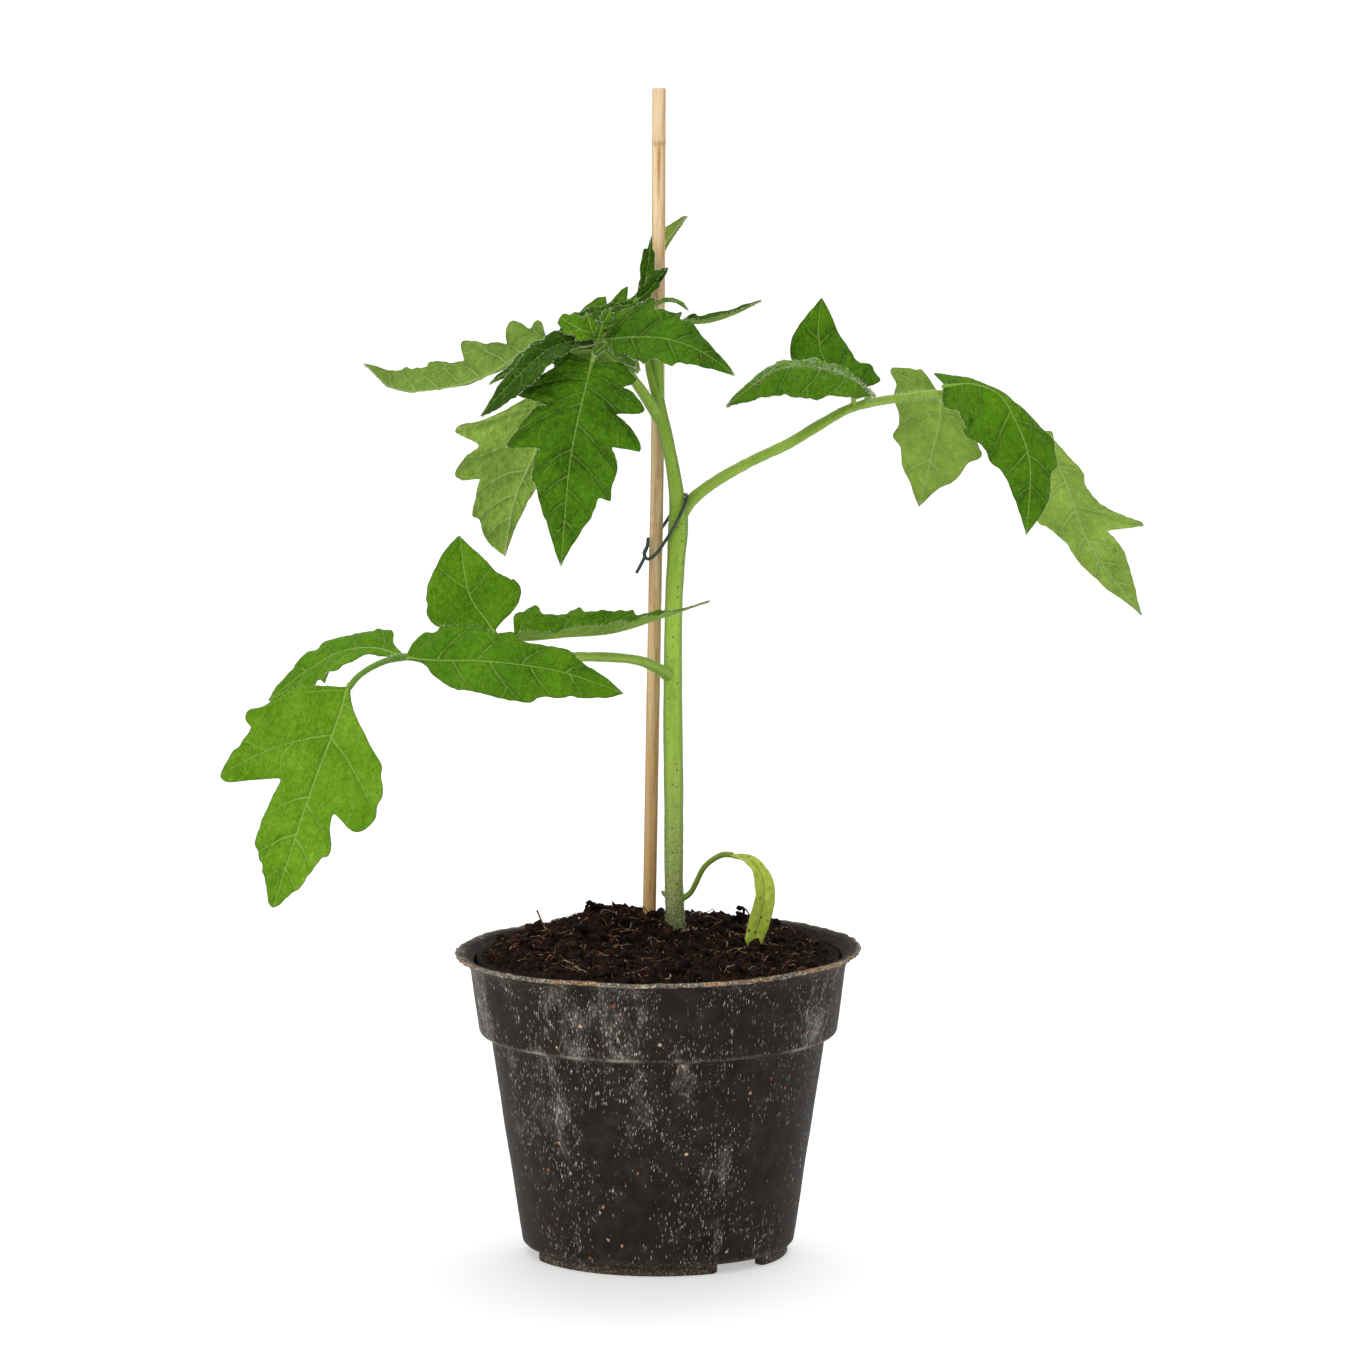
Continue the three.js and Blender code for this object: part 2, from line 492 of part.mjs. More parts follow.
// A profile of [radius, height] turned round the upright axis.
function turned(profile) {
  const points = profile.map(([radius, height]) => new THREE.Vector2(radius, height));
  return new THREE.LatheGeometry(points, POT_SIDES).rotateX(Math.PI / 2);
}

// A round stalk through [x, y, z, radius] stations: a cylinder bent along their curve, with its
// first corner turned to the back.
function stalk(stations, { sides = 7, extra = 0 } = {}) {
  const curve = new THREE.CatmullRomCurve3(stations.map(([x, y, z]) => new THREE.Vector3(x, y, z)));
  const steps = stations.length - 1;
  const frames = [];
  let across = new THREE.Vector3(0, 1, 0.3);
  for (let i = 0; i <= steps; i++) {
    const t = i / steps;
    const along = curve.getTangent(t);
    across = across.clone().addScaledVector(along, -across.dot(along)).normalize();
    const over = across.clone().cross(along);
    frames.push({ centre: curve.getPoint(t), across, over, radius: stations[i][3] + extra });
  }
  const tube = new THREE.CylinderGeometry(1, 1, 1, sides, steps);
  const place = tube.attributes.position;
  for (let i = 0; i < place.count; i++) {
    const frame = frames[Math.round((place.getY(i) + 0.5) * steps)];
    const point = frame.centre
      .clone()
      .addScaledVector(frame.across, place.getX(i) * frame.radius)
      .addScaledVector(frame.over, place.getZ(i) * frame.radius);
    place.setXYZ(i, point.x, point.y, point.z);
  }
  return solid(tube);
}

// A wire of constant thickness along a route.
function wire(route) {
  const curve = new THREE.CatmullRomCurve3(route.map((p) => new THREE.Vector3(...p)));
  const section = new THREE.Shape().absarc(0, 0, WIRE_RADIUS, 0, 2 * Math.PI);
  return solid(
    new THREE.ExtrudeGeometry(section, { extrudePath: curve, steps: WIRE_STEPS, curveSegments: 3 }),
  );
}

// A grid of points as a sheet of even thickness. rows[i][j] holds a point and its upward normal,
// and both faces are split into the same triangles.
function sheet(rows, thickness) {
  const across = rows[0].length;
  const position = [];
  for (const side of [0.5, -0.5])
    for (const row of rows)
      for (const { point, normal } of row)
        position.push(...point.clone().addScaledVector(normal, side * thickness).toArray());
  const lower = rows.length * across;
  const at = (i, j) => i * across + j;
  const faces = [];
  const triangle = (a, b, c) => faces.push(a, b, c);
  for (let i = 0; i < rows.length - 1; i++)
    for (let j = 0; j < across - 1; j++) {
      const [a, b, c, d] = [at(i, j), at(i + 1, j), at(i + 1, j + 1), at(i, j + 1)];
      triangle(a, b, c);
      triangle(a, c, d);
      triangle(lower + a, lower + c, lower + b);
      triangle(lower + a, lower + d, lower + c);
    }
  const rim = [];
  for (let i = 0; i < rows.length - 1; i++) rim.push(at(i, 0));
  for (let j = 0; j < across - 1; j++) rim.push(at(rows.length - 1, j));
  for (let i = rows.length - 1; i > 0; i--) rim.push(at(i, across - 1));
  for (let j = across - 1; j > 0; j--) rim.push(at(0, j));
  rim.forEach((a, k) => {
    const b = rim[(k + 1) % rim.length];
    triangle(a, lower + a, b);
    triangle(b, lower + a, lower + b);
  });
  const geometry = new THREE.BufferGeometry();
  geometry.setAttribute("position", new THREE.Float32BufferAttribute(position, 3));
  geometry.setIndex(faces);
  return solid(geometry);
}

// The margin list read at the share u.
function marginAt(margin, u) {
  const next = Math.max(1, margin.findIndex(([at]) => at >= u));
  const [[u0, w0], [u1, w1]] = [margin[next - 1], margin[next]];
  return THREE.MathUtils.mapLinear(u, u0, u1, w0, w1);
}

// A leaflet's blade. A point is x along the midrib and s out from it: x = u length + s (tan(sweep)
// at u), turned up by the fold. It has a row of points at each u of either margin.
function blade({ rib, face, faceTip = face, fold, sweep, left, right }) {
  const curve = new THREE.CatmullRomCurve3(rib.map((p) => new THREE.Vector3(...p)));
  const length = curve.getLength();
  const lean = sweep.map((angle) => Math.tan(radians(angle)));
  const shares = [...left, ...right].map(([u]) => u).sort((a, b) => a - b);
  const kept = shares.filter((u, i) => i === 0 || u === 1 || u - shares[i - 1] > ROW_GAP);
  const rows = [...new Set(kept)].map((u) =>
    [-1, 0, 1].map((side) => {
      const s = side === 0 ? 0 : marginAt(side > 0 ? left : right, u);
      const x = u * length + s * THREE.MathUtils.lerp(lean[0], lean[1], u);
      const share = THREE.MathUtils.clamp(x / length, 0, 1);
      const along = curve.getTangentAt(share);
      const up = new THREE.Vector3(...face).lerp(new THREE.Vector3(...faceTip), share);
      up.addScaledVector(along, -up.dot(along)).normalize();
      const out = up.clone().cross(along).multiplyScalar(side);
      const turn = radians(THREE.MathUtils.lerp(fold[0], fold[1], share));
      const point = curve.getPointAt(share).addScaledVector(along, x - share * length);
      point.addScaledVector(out, s * Math.cos(turn)).addScaledVector(up, s * Math.sin(turn));
      const normal = side === 0
        ? up.divideScalar(Math.cos(turn))
        : up.multiplyScalar(Math.cos(turn)).addScaledVector(out, -Math.sin(turn));
      return { point, normal };
    }),
  );
  return sheet(rows, BLADE);
}

// A leaflet: its blade on a short neck, which starts a little inside its stalk.
function leaflet(spec) {
  const curve = new THREE.CatmullRomCurve3(spec.rib.map((p) => new THREE.Vector3(...p)));
  const start = curve.getPointAt(0).addScaledVector(curve.getTangentAt(0), -NECK.sunk);
  const neck = [start, curve.getPointAt(NECK.share / 2), curve.getPointAt(NECK.share)];
  const stations = neck.map((point) => [...point.toArray(), NECK.radius]);
  return blade(spec).add(stalk(stations, { sides: NECK.sides }));
}

// A compound leaf or a spray: its stalks and leaflets grown together, cut clear of the stem.
function compound({ stalks, leaflets }, keepClear) {
  const grown = join([...stalks.map((s) => stalk(s)), ...leaflets.map(leaflet)]);
  return mainBody(keepClear.reduce((rest, piece) => rest.subtract(piece), grown));
}

// Pot.

function pot() {
  const lip = (points) =>
    points.map(([out, down]) => [COLLAR_TOP_RADIUS + out, POT_HEIGHT - down]);
  const wall = turned([
    [0, BODY_BOTTOM],
    [BODY_BOTTOM_RADIUS - HEEL, BODY_BOTTOM],
    [BODY_BOTTOM_RADIUS, BODY_BOTTOM + HEEL],
    [BODY_TOP_RADIUS, BODY_TOP],
    [BODY_TOP_RADIUS + SEAM, BODY_TOP + SEAM],
    [COLLAR_BOTTOM_RADIUS - SEAM, COLLAR_BOTTOM - SEAM],
    [COLLAR_BOTTOM_RADIUS, COLLAR_BOTTOM + SEAM],
    ...lip(LIP_BELOW),
    [LIP_RADIUS, POT_HEIGHT - LIP_EDGE],
    [LIP_RADIUS, POT_HEIGHT],
    ...lip(LIP_ABOVE),
    [COLLAR_BOTTOM_RADIUS - WALL, COLLAR_BOTTOM + WALL],
    [BODY_TOP_RADIUS - WALL, BODY_TOP + WALL],
    [BODY_BOTTOM_RADIUS - WALL, FLOOR_TOP],
    [0, FLOOR_TOP],
  ]);
  const foot = turned([
    [FOOT.inner, 0],
    [FOOT.outer, 0],
    [FOOT.outer, FOOT.height],
    [FOOT.inner, FOOT.height],
    [FOOT.inner, 0],
  ]);
  const drain = new THREE.CylinderGeometry(DRAIN.radius, DRAIN.radius, 3 * FLOOR_TOP, DRAIN.sides);
  drain.rotateX(Math.PI / 2);
  const ringWidth = FOOT.outer - FOOT.inner;
  let whole = solid(wall).add(solid(foot)).subtract(solid(drain));
  for (let i = 0; i < NOTCH.count; i++) {
    const angle = radians(NOTCH.first + (i * 360) / NOTCH.count);
    const notch = new THREE.BoxGeometry(NOTCH.width, 3 * ringWidth, 2 * NOTCH.height);
    notch.translate(0, -FOOT.outer, 0).rotateZ(angle);
    const hole = drain.clone().translate(0, -DRAIN.circle, 0).rotateZ(angle);
    whole = whole.subtract(solid(notch)).subtract(solid(hole));
  }
  return whole;
}

// Compost.

const soilHeight = (x, y) =>
  MOUNDS.reduce(
    (z, m) => z + m.height * Math.exp(-((x - m.x) ** 2 + (y - m.y) ** 2) / (2 * m.width ** 2)),
    SOIL_EDGE + SOIL_DOME * (1 - (x * x + y * y) / (COLLAR_TOP_RADIUS - WALL) ** 2),
  );

// A repeatable stream of numbers between 0 and 1.
function seeded(seed) {
  let state = seed;
  return () => {
    state = (state * 1664525 + 1013904223) % 4294967296;
    return state / 4294967296;
  };
}

// The compost's small unevenness: waves across X whose crests wander with Y.
function roughness(x, y) {
  const { height, acrossX, acrossY, wander } = SOIL_ROUGH;
  return height * Math.sin(x * acrossX + 2 * Math.sin(y * wander)) * Math.cos(y * acrossY);
}

function soil() {
  const inset = WALL + SOIL_GAP;
  const edge = COLLAR_TOP_RADIUS - inset;
  const shoulder = COLLAR_BOTTOM + 2 * WALL;
  const profile = [
    [0, FLOOR_TOP + GAP],
    [BODY_BOTTOM_RADIUS - inset, FLOOR_TOP + GAP],
    [BODY_TOP_RADIUS - inset, BODY_TOP],
    [BODY_TOP_RADIUS - inset, shoulder],
    [COLLAR_BOTTOM_RADIUS - inset, shoulder],
  ];
  for (let i = SOIL_RINGS; i >= 0; i--) profile.push([(edge * i) / SOIL_RINGS, SOIL_EDGE]);
  const geometry = turned(profile);
  const place = geometry.attributes.position;
  for (let i = 0; i < place.count; i++) {
    const [x, y] = [place.getX(i), place.getY(i)];
    if (place.getZ(i) < shoulder + WALL) continue;
    place.setZ(i, soilHeight(x, y) + roughness(x, y));
  }
  return join([solid(geometry), ...crumbs(edge)]);
}

// Crumbs of compost, strewn evenly over the top.
function crumbs(edge) {
  const draw = seeded(CRUMBS.seed);
  const strewn = [];
  while (strewn.length < CRUMBS.count) {
    const radius = edge * CRUMBS.reach * Math.sqrt(draw());
    const angle = 2 * Math.PI * draw();
    const size = CRUMBS.smallest + CRUMBS.spread * draw();
    const [x, y] = [radius * Math.cos(angle), radius * Math.sin(angle)];
    if (Math.hypot(x - SEED_TIP[0], y - SEED_TIP[1]) < CRUMBS.clear) continue;
    const crumb = new THREE.IcosahedronGeometry(size, 0).rotateX(angle).rotateZ(3 * angle);
    strewn.push(solid(crumb.translate(x, y, soilHeight(x, y) - CRUMBS.sunk * size)));
  }
  return strewn;
}

// Assembly.

const stakeStations = STAKE.map((place) => [...place, STAKE_RADIUS]);
const stem = stalk(STEM, { sides: 12 }).add(stalk(SEED_LEAF_SCAR));
const roundStem = stalk(STEM, { sides: 12, extra: GAP });
const stake = stalk(stakeStations, { sides: 16 });
const roundStake = stalk(stakeStations, { sides: 16, extra: GAP });
const tie = join([wire(WIRE_FRONT), wire(WIRE_BACK)]);
const seedLeaf = stalk(SEED_STALK, { sides: 6 }).add(leaflet(SEED_BLADE)).subtract(roundStem);

const LEAF_GREEN = 0x4f8f1e;
const DARK_LEAF = 0x3e7a1a;
const plant = new THREE.Group();
plant.add(
  mesh("pot", pot(), 0x2e2a27, 0.55),
  mesh("soil", mainBody(soil().subtract(roundStem).subtract(roundStake)), 0x2a1c13, 0.95),
  mesh("stem", stem, 0x8db840, 0.5),
  mesh("bamboo_stake", stake, 0xe0b882, 0.6),
  mesh("wire_tie", tie, 0x1d3a22, 0.35),
  mesh("seed_leaf", mainBody(seedLeaf), 0x9aaf3a, 0.5),
  mesh("leaf_lower_left", compound(LOWER_LEFT, [roundStem]), 0x5c9a22, 0.5),
  mesh("leaf_right", compound(RIGHT, [roundStem]), LEAF_GREEN, 0.5),
  mesh("leaf_upper_left", compound(UPPER_LEFT, [roundStem]), DARK_LEAF, 0.5),
  mesh("shoot_tip", compound(SHOOT_TIP, [roundStem]), DARK_LEAF, 0.5),
);
const middle = new THREE.Box3().setFromObject(plant).getCenter(new THREE.Vector3());
plant.position.set(-middle.x, -middle.y, 0);

const part = new THREE.Group();
part.add(plant);
export default part;
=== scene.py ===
"""A young tomato plant in a round nursery pot, tied to a bamboo stake, dressed for the render.

Sizes are in millimetres from the pot's axis, +Z up, with the front of the plant towards -Y and
its right towards +X. Each mesh is moved to the frame's place and into metres when it is made.
"""

import bpy
import numpy as np
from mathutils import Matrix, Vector


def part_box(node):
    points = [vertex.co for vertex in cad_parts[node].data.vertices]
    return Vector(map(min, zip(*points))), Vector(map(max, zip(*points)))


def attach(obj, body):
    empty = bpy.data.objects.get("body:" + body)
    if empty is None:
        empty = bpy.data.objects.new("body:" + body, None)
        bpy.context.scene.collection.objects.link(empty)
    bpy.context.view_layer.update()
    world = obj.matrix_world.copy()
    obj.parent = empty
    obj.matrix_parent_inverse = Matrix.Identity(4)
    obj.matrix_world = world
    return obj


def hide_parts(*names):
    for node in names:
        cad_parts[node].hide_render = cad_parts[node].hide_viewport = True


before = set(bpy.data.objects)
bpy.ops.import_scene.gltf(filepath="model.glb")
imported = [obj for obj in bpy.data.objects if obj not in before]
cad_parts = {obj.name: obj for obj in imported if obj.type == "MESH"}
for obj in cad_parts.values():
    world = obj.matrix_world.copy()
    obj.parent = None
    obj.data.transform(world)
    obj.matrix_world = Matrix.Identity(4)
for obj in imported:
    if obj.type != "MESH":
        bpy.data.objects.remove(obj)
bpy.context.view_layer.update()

pot_low, pot_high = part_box("pot")
MM = 0.001
POT_AXIS = np.array([pot_low.x + pot_high.x, pot_low.y + pot_high.y, 0]) / 2  # in metres

# Pot.
LIP_RADIUS = 60
POT_HEIGHT = 91
COLLAR_TOP_RADIUS = 55.4
COLLAR_BOTTOM_RADIUS = 53
COLLAR_BOTTOM = 66.8
BODY_TOP_RADIUS = 49.4
BODY_TOP = 64.8
BODY_BOTTOM_RADIUS = 40.2
BODY_BOTTOM = 2.9
WALL = 1.2
FLOOR_TOP = 5.8
LIP_WARP = 0.75  # the lip's right side is this much higher, its left side this much lower
LIP_FRAY = [(0.13, 7), (0.14, 3.4), (0.13, 1.7)]  # depth and length of its waves
FOOT_INNER = 35.6
FOOT_OUTER = 38.4
FOOT_TOP = 4
NOTCH_WIDTH = 17
NOTCHES = [40, 160, 280]  # degrees from the front towards +X
DRAIN_RADIUS = 4
DRAIN_CIRCLE = 21

# Compost.
SOIL_EDGE = 88.6
SOIL_DOME = 4.4
SOIL_GAP = 0.6
MOUNDS = [(-14, 22, 6.4, 13), (20, 37, 3.4, 14)]  # x, y, height, width
# Dark lumps that stand up at the back: x, y, z, spread and how many crumbs.
LUMPS = [(-18.3, 20, 99.2, 1.5, 24), (-12, 21, 97.6, 1.5, 10), (24.5, 30, 95.6, 1.0, 9)]
# Pale fibres that stick out: start, middle, end.
FIBRES = [[(-36, 16, 99.5), (-33, 12, 94.5), (-28, 9, 94)],
          [(-6, 2, 96.5), (-8, 0, 94.3), (-9.5, -4, 92.8)],
          [(-14, -2, 95.2), (-12, -4, 94), (-9, -8, 92)],
          [(25, 30, 98.4), (26.5, 29, 97.2), (28, 27, 95)]]

# Stem, stake and tie: [x, y, z, radius].
STEM = [[5.8, 12, 70, 2.6], [5.3, 12, 94.5, 2.75], [4.9, 12, 103, 2.75], [4.7, 12, 109.5, 2.7],
        [4.7, 12.5, 133, 2.85], [4.4, 12.5, 163, 2.8], [4.7, 13, 193, 2.55], [5.4, 13, 206, 2.75],
        [6, 13, 217, 2.9], [5.4, 12.5, 225, 2.2], [4.1, 11.5, 234, 1.95], [1.8, 10, 245, 1.9],
        [-0.2, 9, 254.5, 1.75], [-2.3, 8.5, 263.5, 1.5], [-2.6, 8.5, 273.5, 1.15],
        [-2.4, 9, 280, 0.9]]
SEED_LEAF_SCAR = [[4.4, 12, 104.4, 1.1], [2, 11.4, 105.2, 0.7], [1.3, 11.2, 106, 0.4]]
STEM_FORK = [[0.6, 9, 251.7, 0.9], [0.6, 8.5, 255.9, 1.2], [0.3, 8, 260.1, 1.4],
             [0.1, 7, 263.8, 1.5], [-0.5, 6, 267.4, 1.4], [-2.3, 3.5, 270, 1]]
STAKE_RADIUS = 1.95
STAKE = [[-4.2, 24.9, 14], [-2.5, 20.8, 105], [-1.7, 18.7, 150], [-0.9, 16.8, 193],
         [-0.1, 14.7, 240], [0.4, 10, 344.5]]
NODE_RING = 328.5  # its height on the stake
WIRE_RADIUS = 0.5
WIRE_FRONT = [[-2.9, 13.6, 211.2], [-3.3, 14.4, 208.4], [-4, 14.6, 206.4], [-3, 13.4, 205.2],
              [-0.3, 12.1, 207.2], [1.8, 10.4, 210.4], [4.6, 9.1, 215], [7.4, 9.3, 220.6],
              [8.5, 11.6, 223.9], [8.3, 14, 224.4]]
WIRE_BACK = [[8.4, 13.6, 224.4], [7, 16.3, 223.6], [5.4, 17, 220.4], [3.3, 17.5, 217.2],
             [1.6, 18.4, 214.5], [-0.9, 19.4, 211], [-3.2, 18.5, 208.2], [-4.1, 16.2, 206.8],
             [-4, 14.4, 205.6], [-5, 13.6, 203.6], [-6.2, 13, 201.4]]

# Blades.
BLADE = 0.42  # thickness
LEAF_HAIR, STEM_HAIR, SEED_LEAF_HAIR = 0.12, 0.07, 0.06  # thicknesses
TIP = 0.08  # half width where a blade ends
MIDRIB_FILLET = 0.8
VEIN_LEAN = (34, 16)  # degrees that a side vein leans forward at the base, and more at the tip
ROW_SPACING = 0.62


def leaflet(tone, rib, face, fold, left, right=None, sweep=(0, 45), base=0.5, **more):
    """A leaflet's measures. tone runs from a dark leaflet, 0, to a bright one, 1. rib is the
    midrib from base to tip, face the way that the upper side looks, and fold the angle in degrees
    by which each half is raised, at base and tip. The side veins lean forward by sweep degrees.
    face_tip is the way that the tip looks, plump and fuzz scale a leaflet's swelling and hair, and
    bristle is how many long hairs stand on each millimetre.

    left and right list the margin, seen on the upper side with the tip away, as pairs u, w: it
    lies w tenths of a millimetre out from the midrib, along the side vein that leaves it at u
    thousandths of its length. It starts at the base width. Without right both sides are alike.
    """
    left, right = (
        [[0, base], *([u / 1000, w / 10] for u, w in zip(side[::2], side[1::2])), [1, TIP]]
        for side in (left, right or left))
    return dict(tone=tone, rib=rib, face=face, fold=fold, sweep=sweep, left=left, right=right,
                **more)


SEED_STALK = [[6, 12, 103.2, 0.95], [9.5, 10, 105.8, 0.85], [14, 6, 114.6, 0.8],
              [18.9, 3, 118.4, 0.85], [22, 1, 118.8, 0.8]]
SEED_BLADE = leaflet(
    0.5, [[21.3, 1.4, 118.7], [27.4, -3, 117.6], [30.8, -6, 113], [31.2, -8, 106.7],
          [29.6, -9, 99.5], [27.2, -10.5, 91.8]],
    face=[0.7, -0.6, 0.5], face_tip=[0.35, -0.93, 0.2], fold=[12, 4], sweep=[0, 0], base=0.8,
    left=[200, 25, 450, 35, 700, 34, 900, 29])


# Compound leaves: their stalks are [x, y, z, radius] stations.
SMALL_MARGIN = [200, 12, 380, 17, 460, 11, 650, 13, 820, 7]

# The shade paints the outer part of its stalks darker: painted shade.
LOWER_LEFT = dict(shade=1.2, stalks=[
    [[3.6, 12, 170.5, 1.9], [-0.3, 6, 173.8, 1.6], [-5, 0, 176.7, 1.4], [-10.5, -6, 178.4, 1.4],
     [-17, -12, 179.6, 1.4], [-28.5, -22, 181, 1.4], [-47, -33, 182.8, 1.3],
     [-73, -45, 184.2, 1.1], [-80.6, -52, 183.1, 0.9], [-86.2, -56, 180, 0.9],
     [-89, -58, 176.7, 0.9]],
    [[-47, -33, 182.8, 0.9], [-47.2, -26, 185.6, 0.7], [-47.4, -22, 188, 0.6]],
    [[-40, -29, 182.4, 0.9], [-41.5, -26, 185.1, 0.7], [-41.9, -24, 186.5, 0.6]],
], leaflets=[
    # The hanging end leaflet.
    leaflet(
        0.66, [[-89, -58, 177.3], [-92, -62, 168], [-100, -68, 147], [-110.3, -73, 115.7]],
        face=[-0.1, -0.95, 0.3], fold=[14, 4], sweep=[-6, 62],
        left=[67, 26, 99, 43, 128, 67, 149, 91, 172, 121, 187, 149, 197, 171, 207, 182, 223, 186,
            246, 202, 275, 209, 301, 206, 322, 210, 347, 206, 371, 196, 395, 180, 415, 161,
            425, 141, 429, 121, 433, 106, 438, 90, 456, 84, 475, 87, 500, 95, 517, 108, 534, 113,
            555, 110, 589, 95, 622, 88, 681, 76, 755, 61, 815, 44, 887, 27, 942, 16],
        right=[8, 13, 20, 41, 36, 78, 55, 124, 78, 162, 105, 184, 131, 204, 150, 223, 161, 248,
            171, 255, 185, 254, 197, 244, 212, 227, 228, 228, 245, 236, 262, 237, 273, 250,
            293, 253, 312, 259, 328, 261, 342, 248, 354, 227, 358, 203, 362, 176, 366, 152,
            370, 133, 374, 115, 378, 101, 386, 94, 409, 95, 435, 100, 466, 104, 504, 108, 549, 108,
            592, 104, 630, 93, 680, 78, 741, 62, 801, 47, 853, 34, 916, 22, 974, 9]),
    # The back leaflet on the left.
    leaflet(
        0.52, [[-73.4, -44.4, 184.3], [-82, -36, 185.6], [-92.5, -26, 183], [-103, -18, 176],
            [-114, -12, 166.8]],
        face=[-0.2, -0.65, 0.75], fold=[10, 5], sweep=[-5, 40],
        left=[120, 25, 210, 30, 280, 70, 340, 105, 450, 110, 520, 85, 600, 95, 750, 65, 900, 30],
        right=[110, 27, 165, 67, 235, 72, 300, 68, 360, 56, 440, 56, 560, 64, 660, 62, 780, 46,
            900, 24]),
    # The upright leaflet.
    leaflet(
        0.5, [[-47.4, -22, 188], [-49.8, -19, 191], [-55, -14, 198], [-58.2, -6, 214.5]],
        face=[0.1, -0.9, 0.4], fold=[10, 5], sweep=[-12, 40],
        left=[127, 63, 221, 106, 276, 128, 310, 141, 341, 144, 368, 137, 385, 128, 403, 130,
            444, 121, 505, 109, 572, 93, 659, 74, 725, 62, 832, 38, 929, 17],
        right=[26, 7, 78, 33, 106, 61, 134, 87, 165, 113, 195, 133, 234, 140, 346, 135, 453, 116,
            522, 95, 602, 78, 719, 53, 815, 32, 900, 17]),
    # The front leaflet.
    leaflet(
        0.4, [[-73, -45, 184], [-65.6, -50, 184], [-47.3, -56, 184.3], [-28, -58, 181.7],
            [-9.9, -57, 175.4]],
        face=[0.05, -0.8, 0.6], fold=[10, 4],
        left=[4, 9, 8, 32, 15, 59, 32, 84, 76, 101, 124, 105, 172, 108, 220, 114, 258, 118,
            300, 109, 327, 95, 358, 87, 390, 91, 412, 98, 438, 94, 464, 76, 476, 71, 529, 72,
            586, 73, 645, 70, 682, 64, 716, 54, 768, 46, 836, 35, 917, 19, 975, 6],
        right=[63, 9, 101, 14, 129, 27, 151, 48, 190, 73, 229, 94, 266, 104, 322, 111, 376, 119,
            428, 123, 481, 124, 520, 121, 539, 113, 555, 102, 570, 97, 635, 89, 729, 70, 830, 48,
            912, 29]),
    # The long folded leaflet in front of the stem.
    leaflet(
        0.45, [[-41.6, -24, 186.5], [-27.5, -20, 186.9], [-13.2, -14, 187.2], [1.5, -6, 190.6],
            [15.2, 1, 194.5]],
        face=[0, -0.12, 1], fold=[42, 30], sweep=[0, 50],
        left=[19, 88, 46, 101, 72, 114, 93, 126, 109, 129, 125, 119, 132, 101, 140, 90, 171, 87,
            207, 91, 240, 101, 271, 108, 293, 110, 313, 96, 328, 85, 378, 82, 442, 77, 484, 74,
            530, 74, 571, 67, 582, 56, 592, 43, 642, 35, 710, 28, 777, 17, 845, 10, 918, 4],
        right=[15, 54, 100, 65, 200, 65, 330, 89, 500, 89, 560, 65, 660, 56, 800, 25]),
])

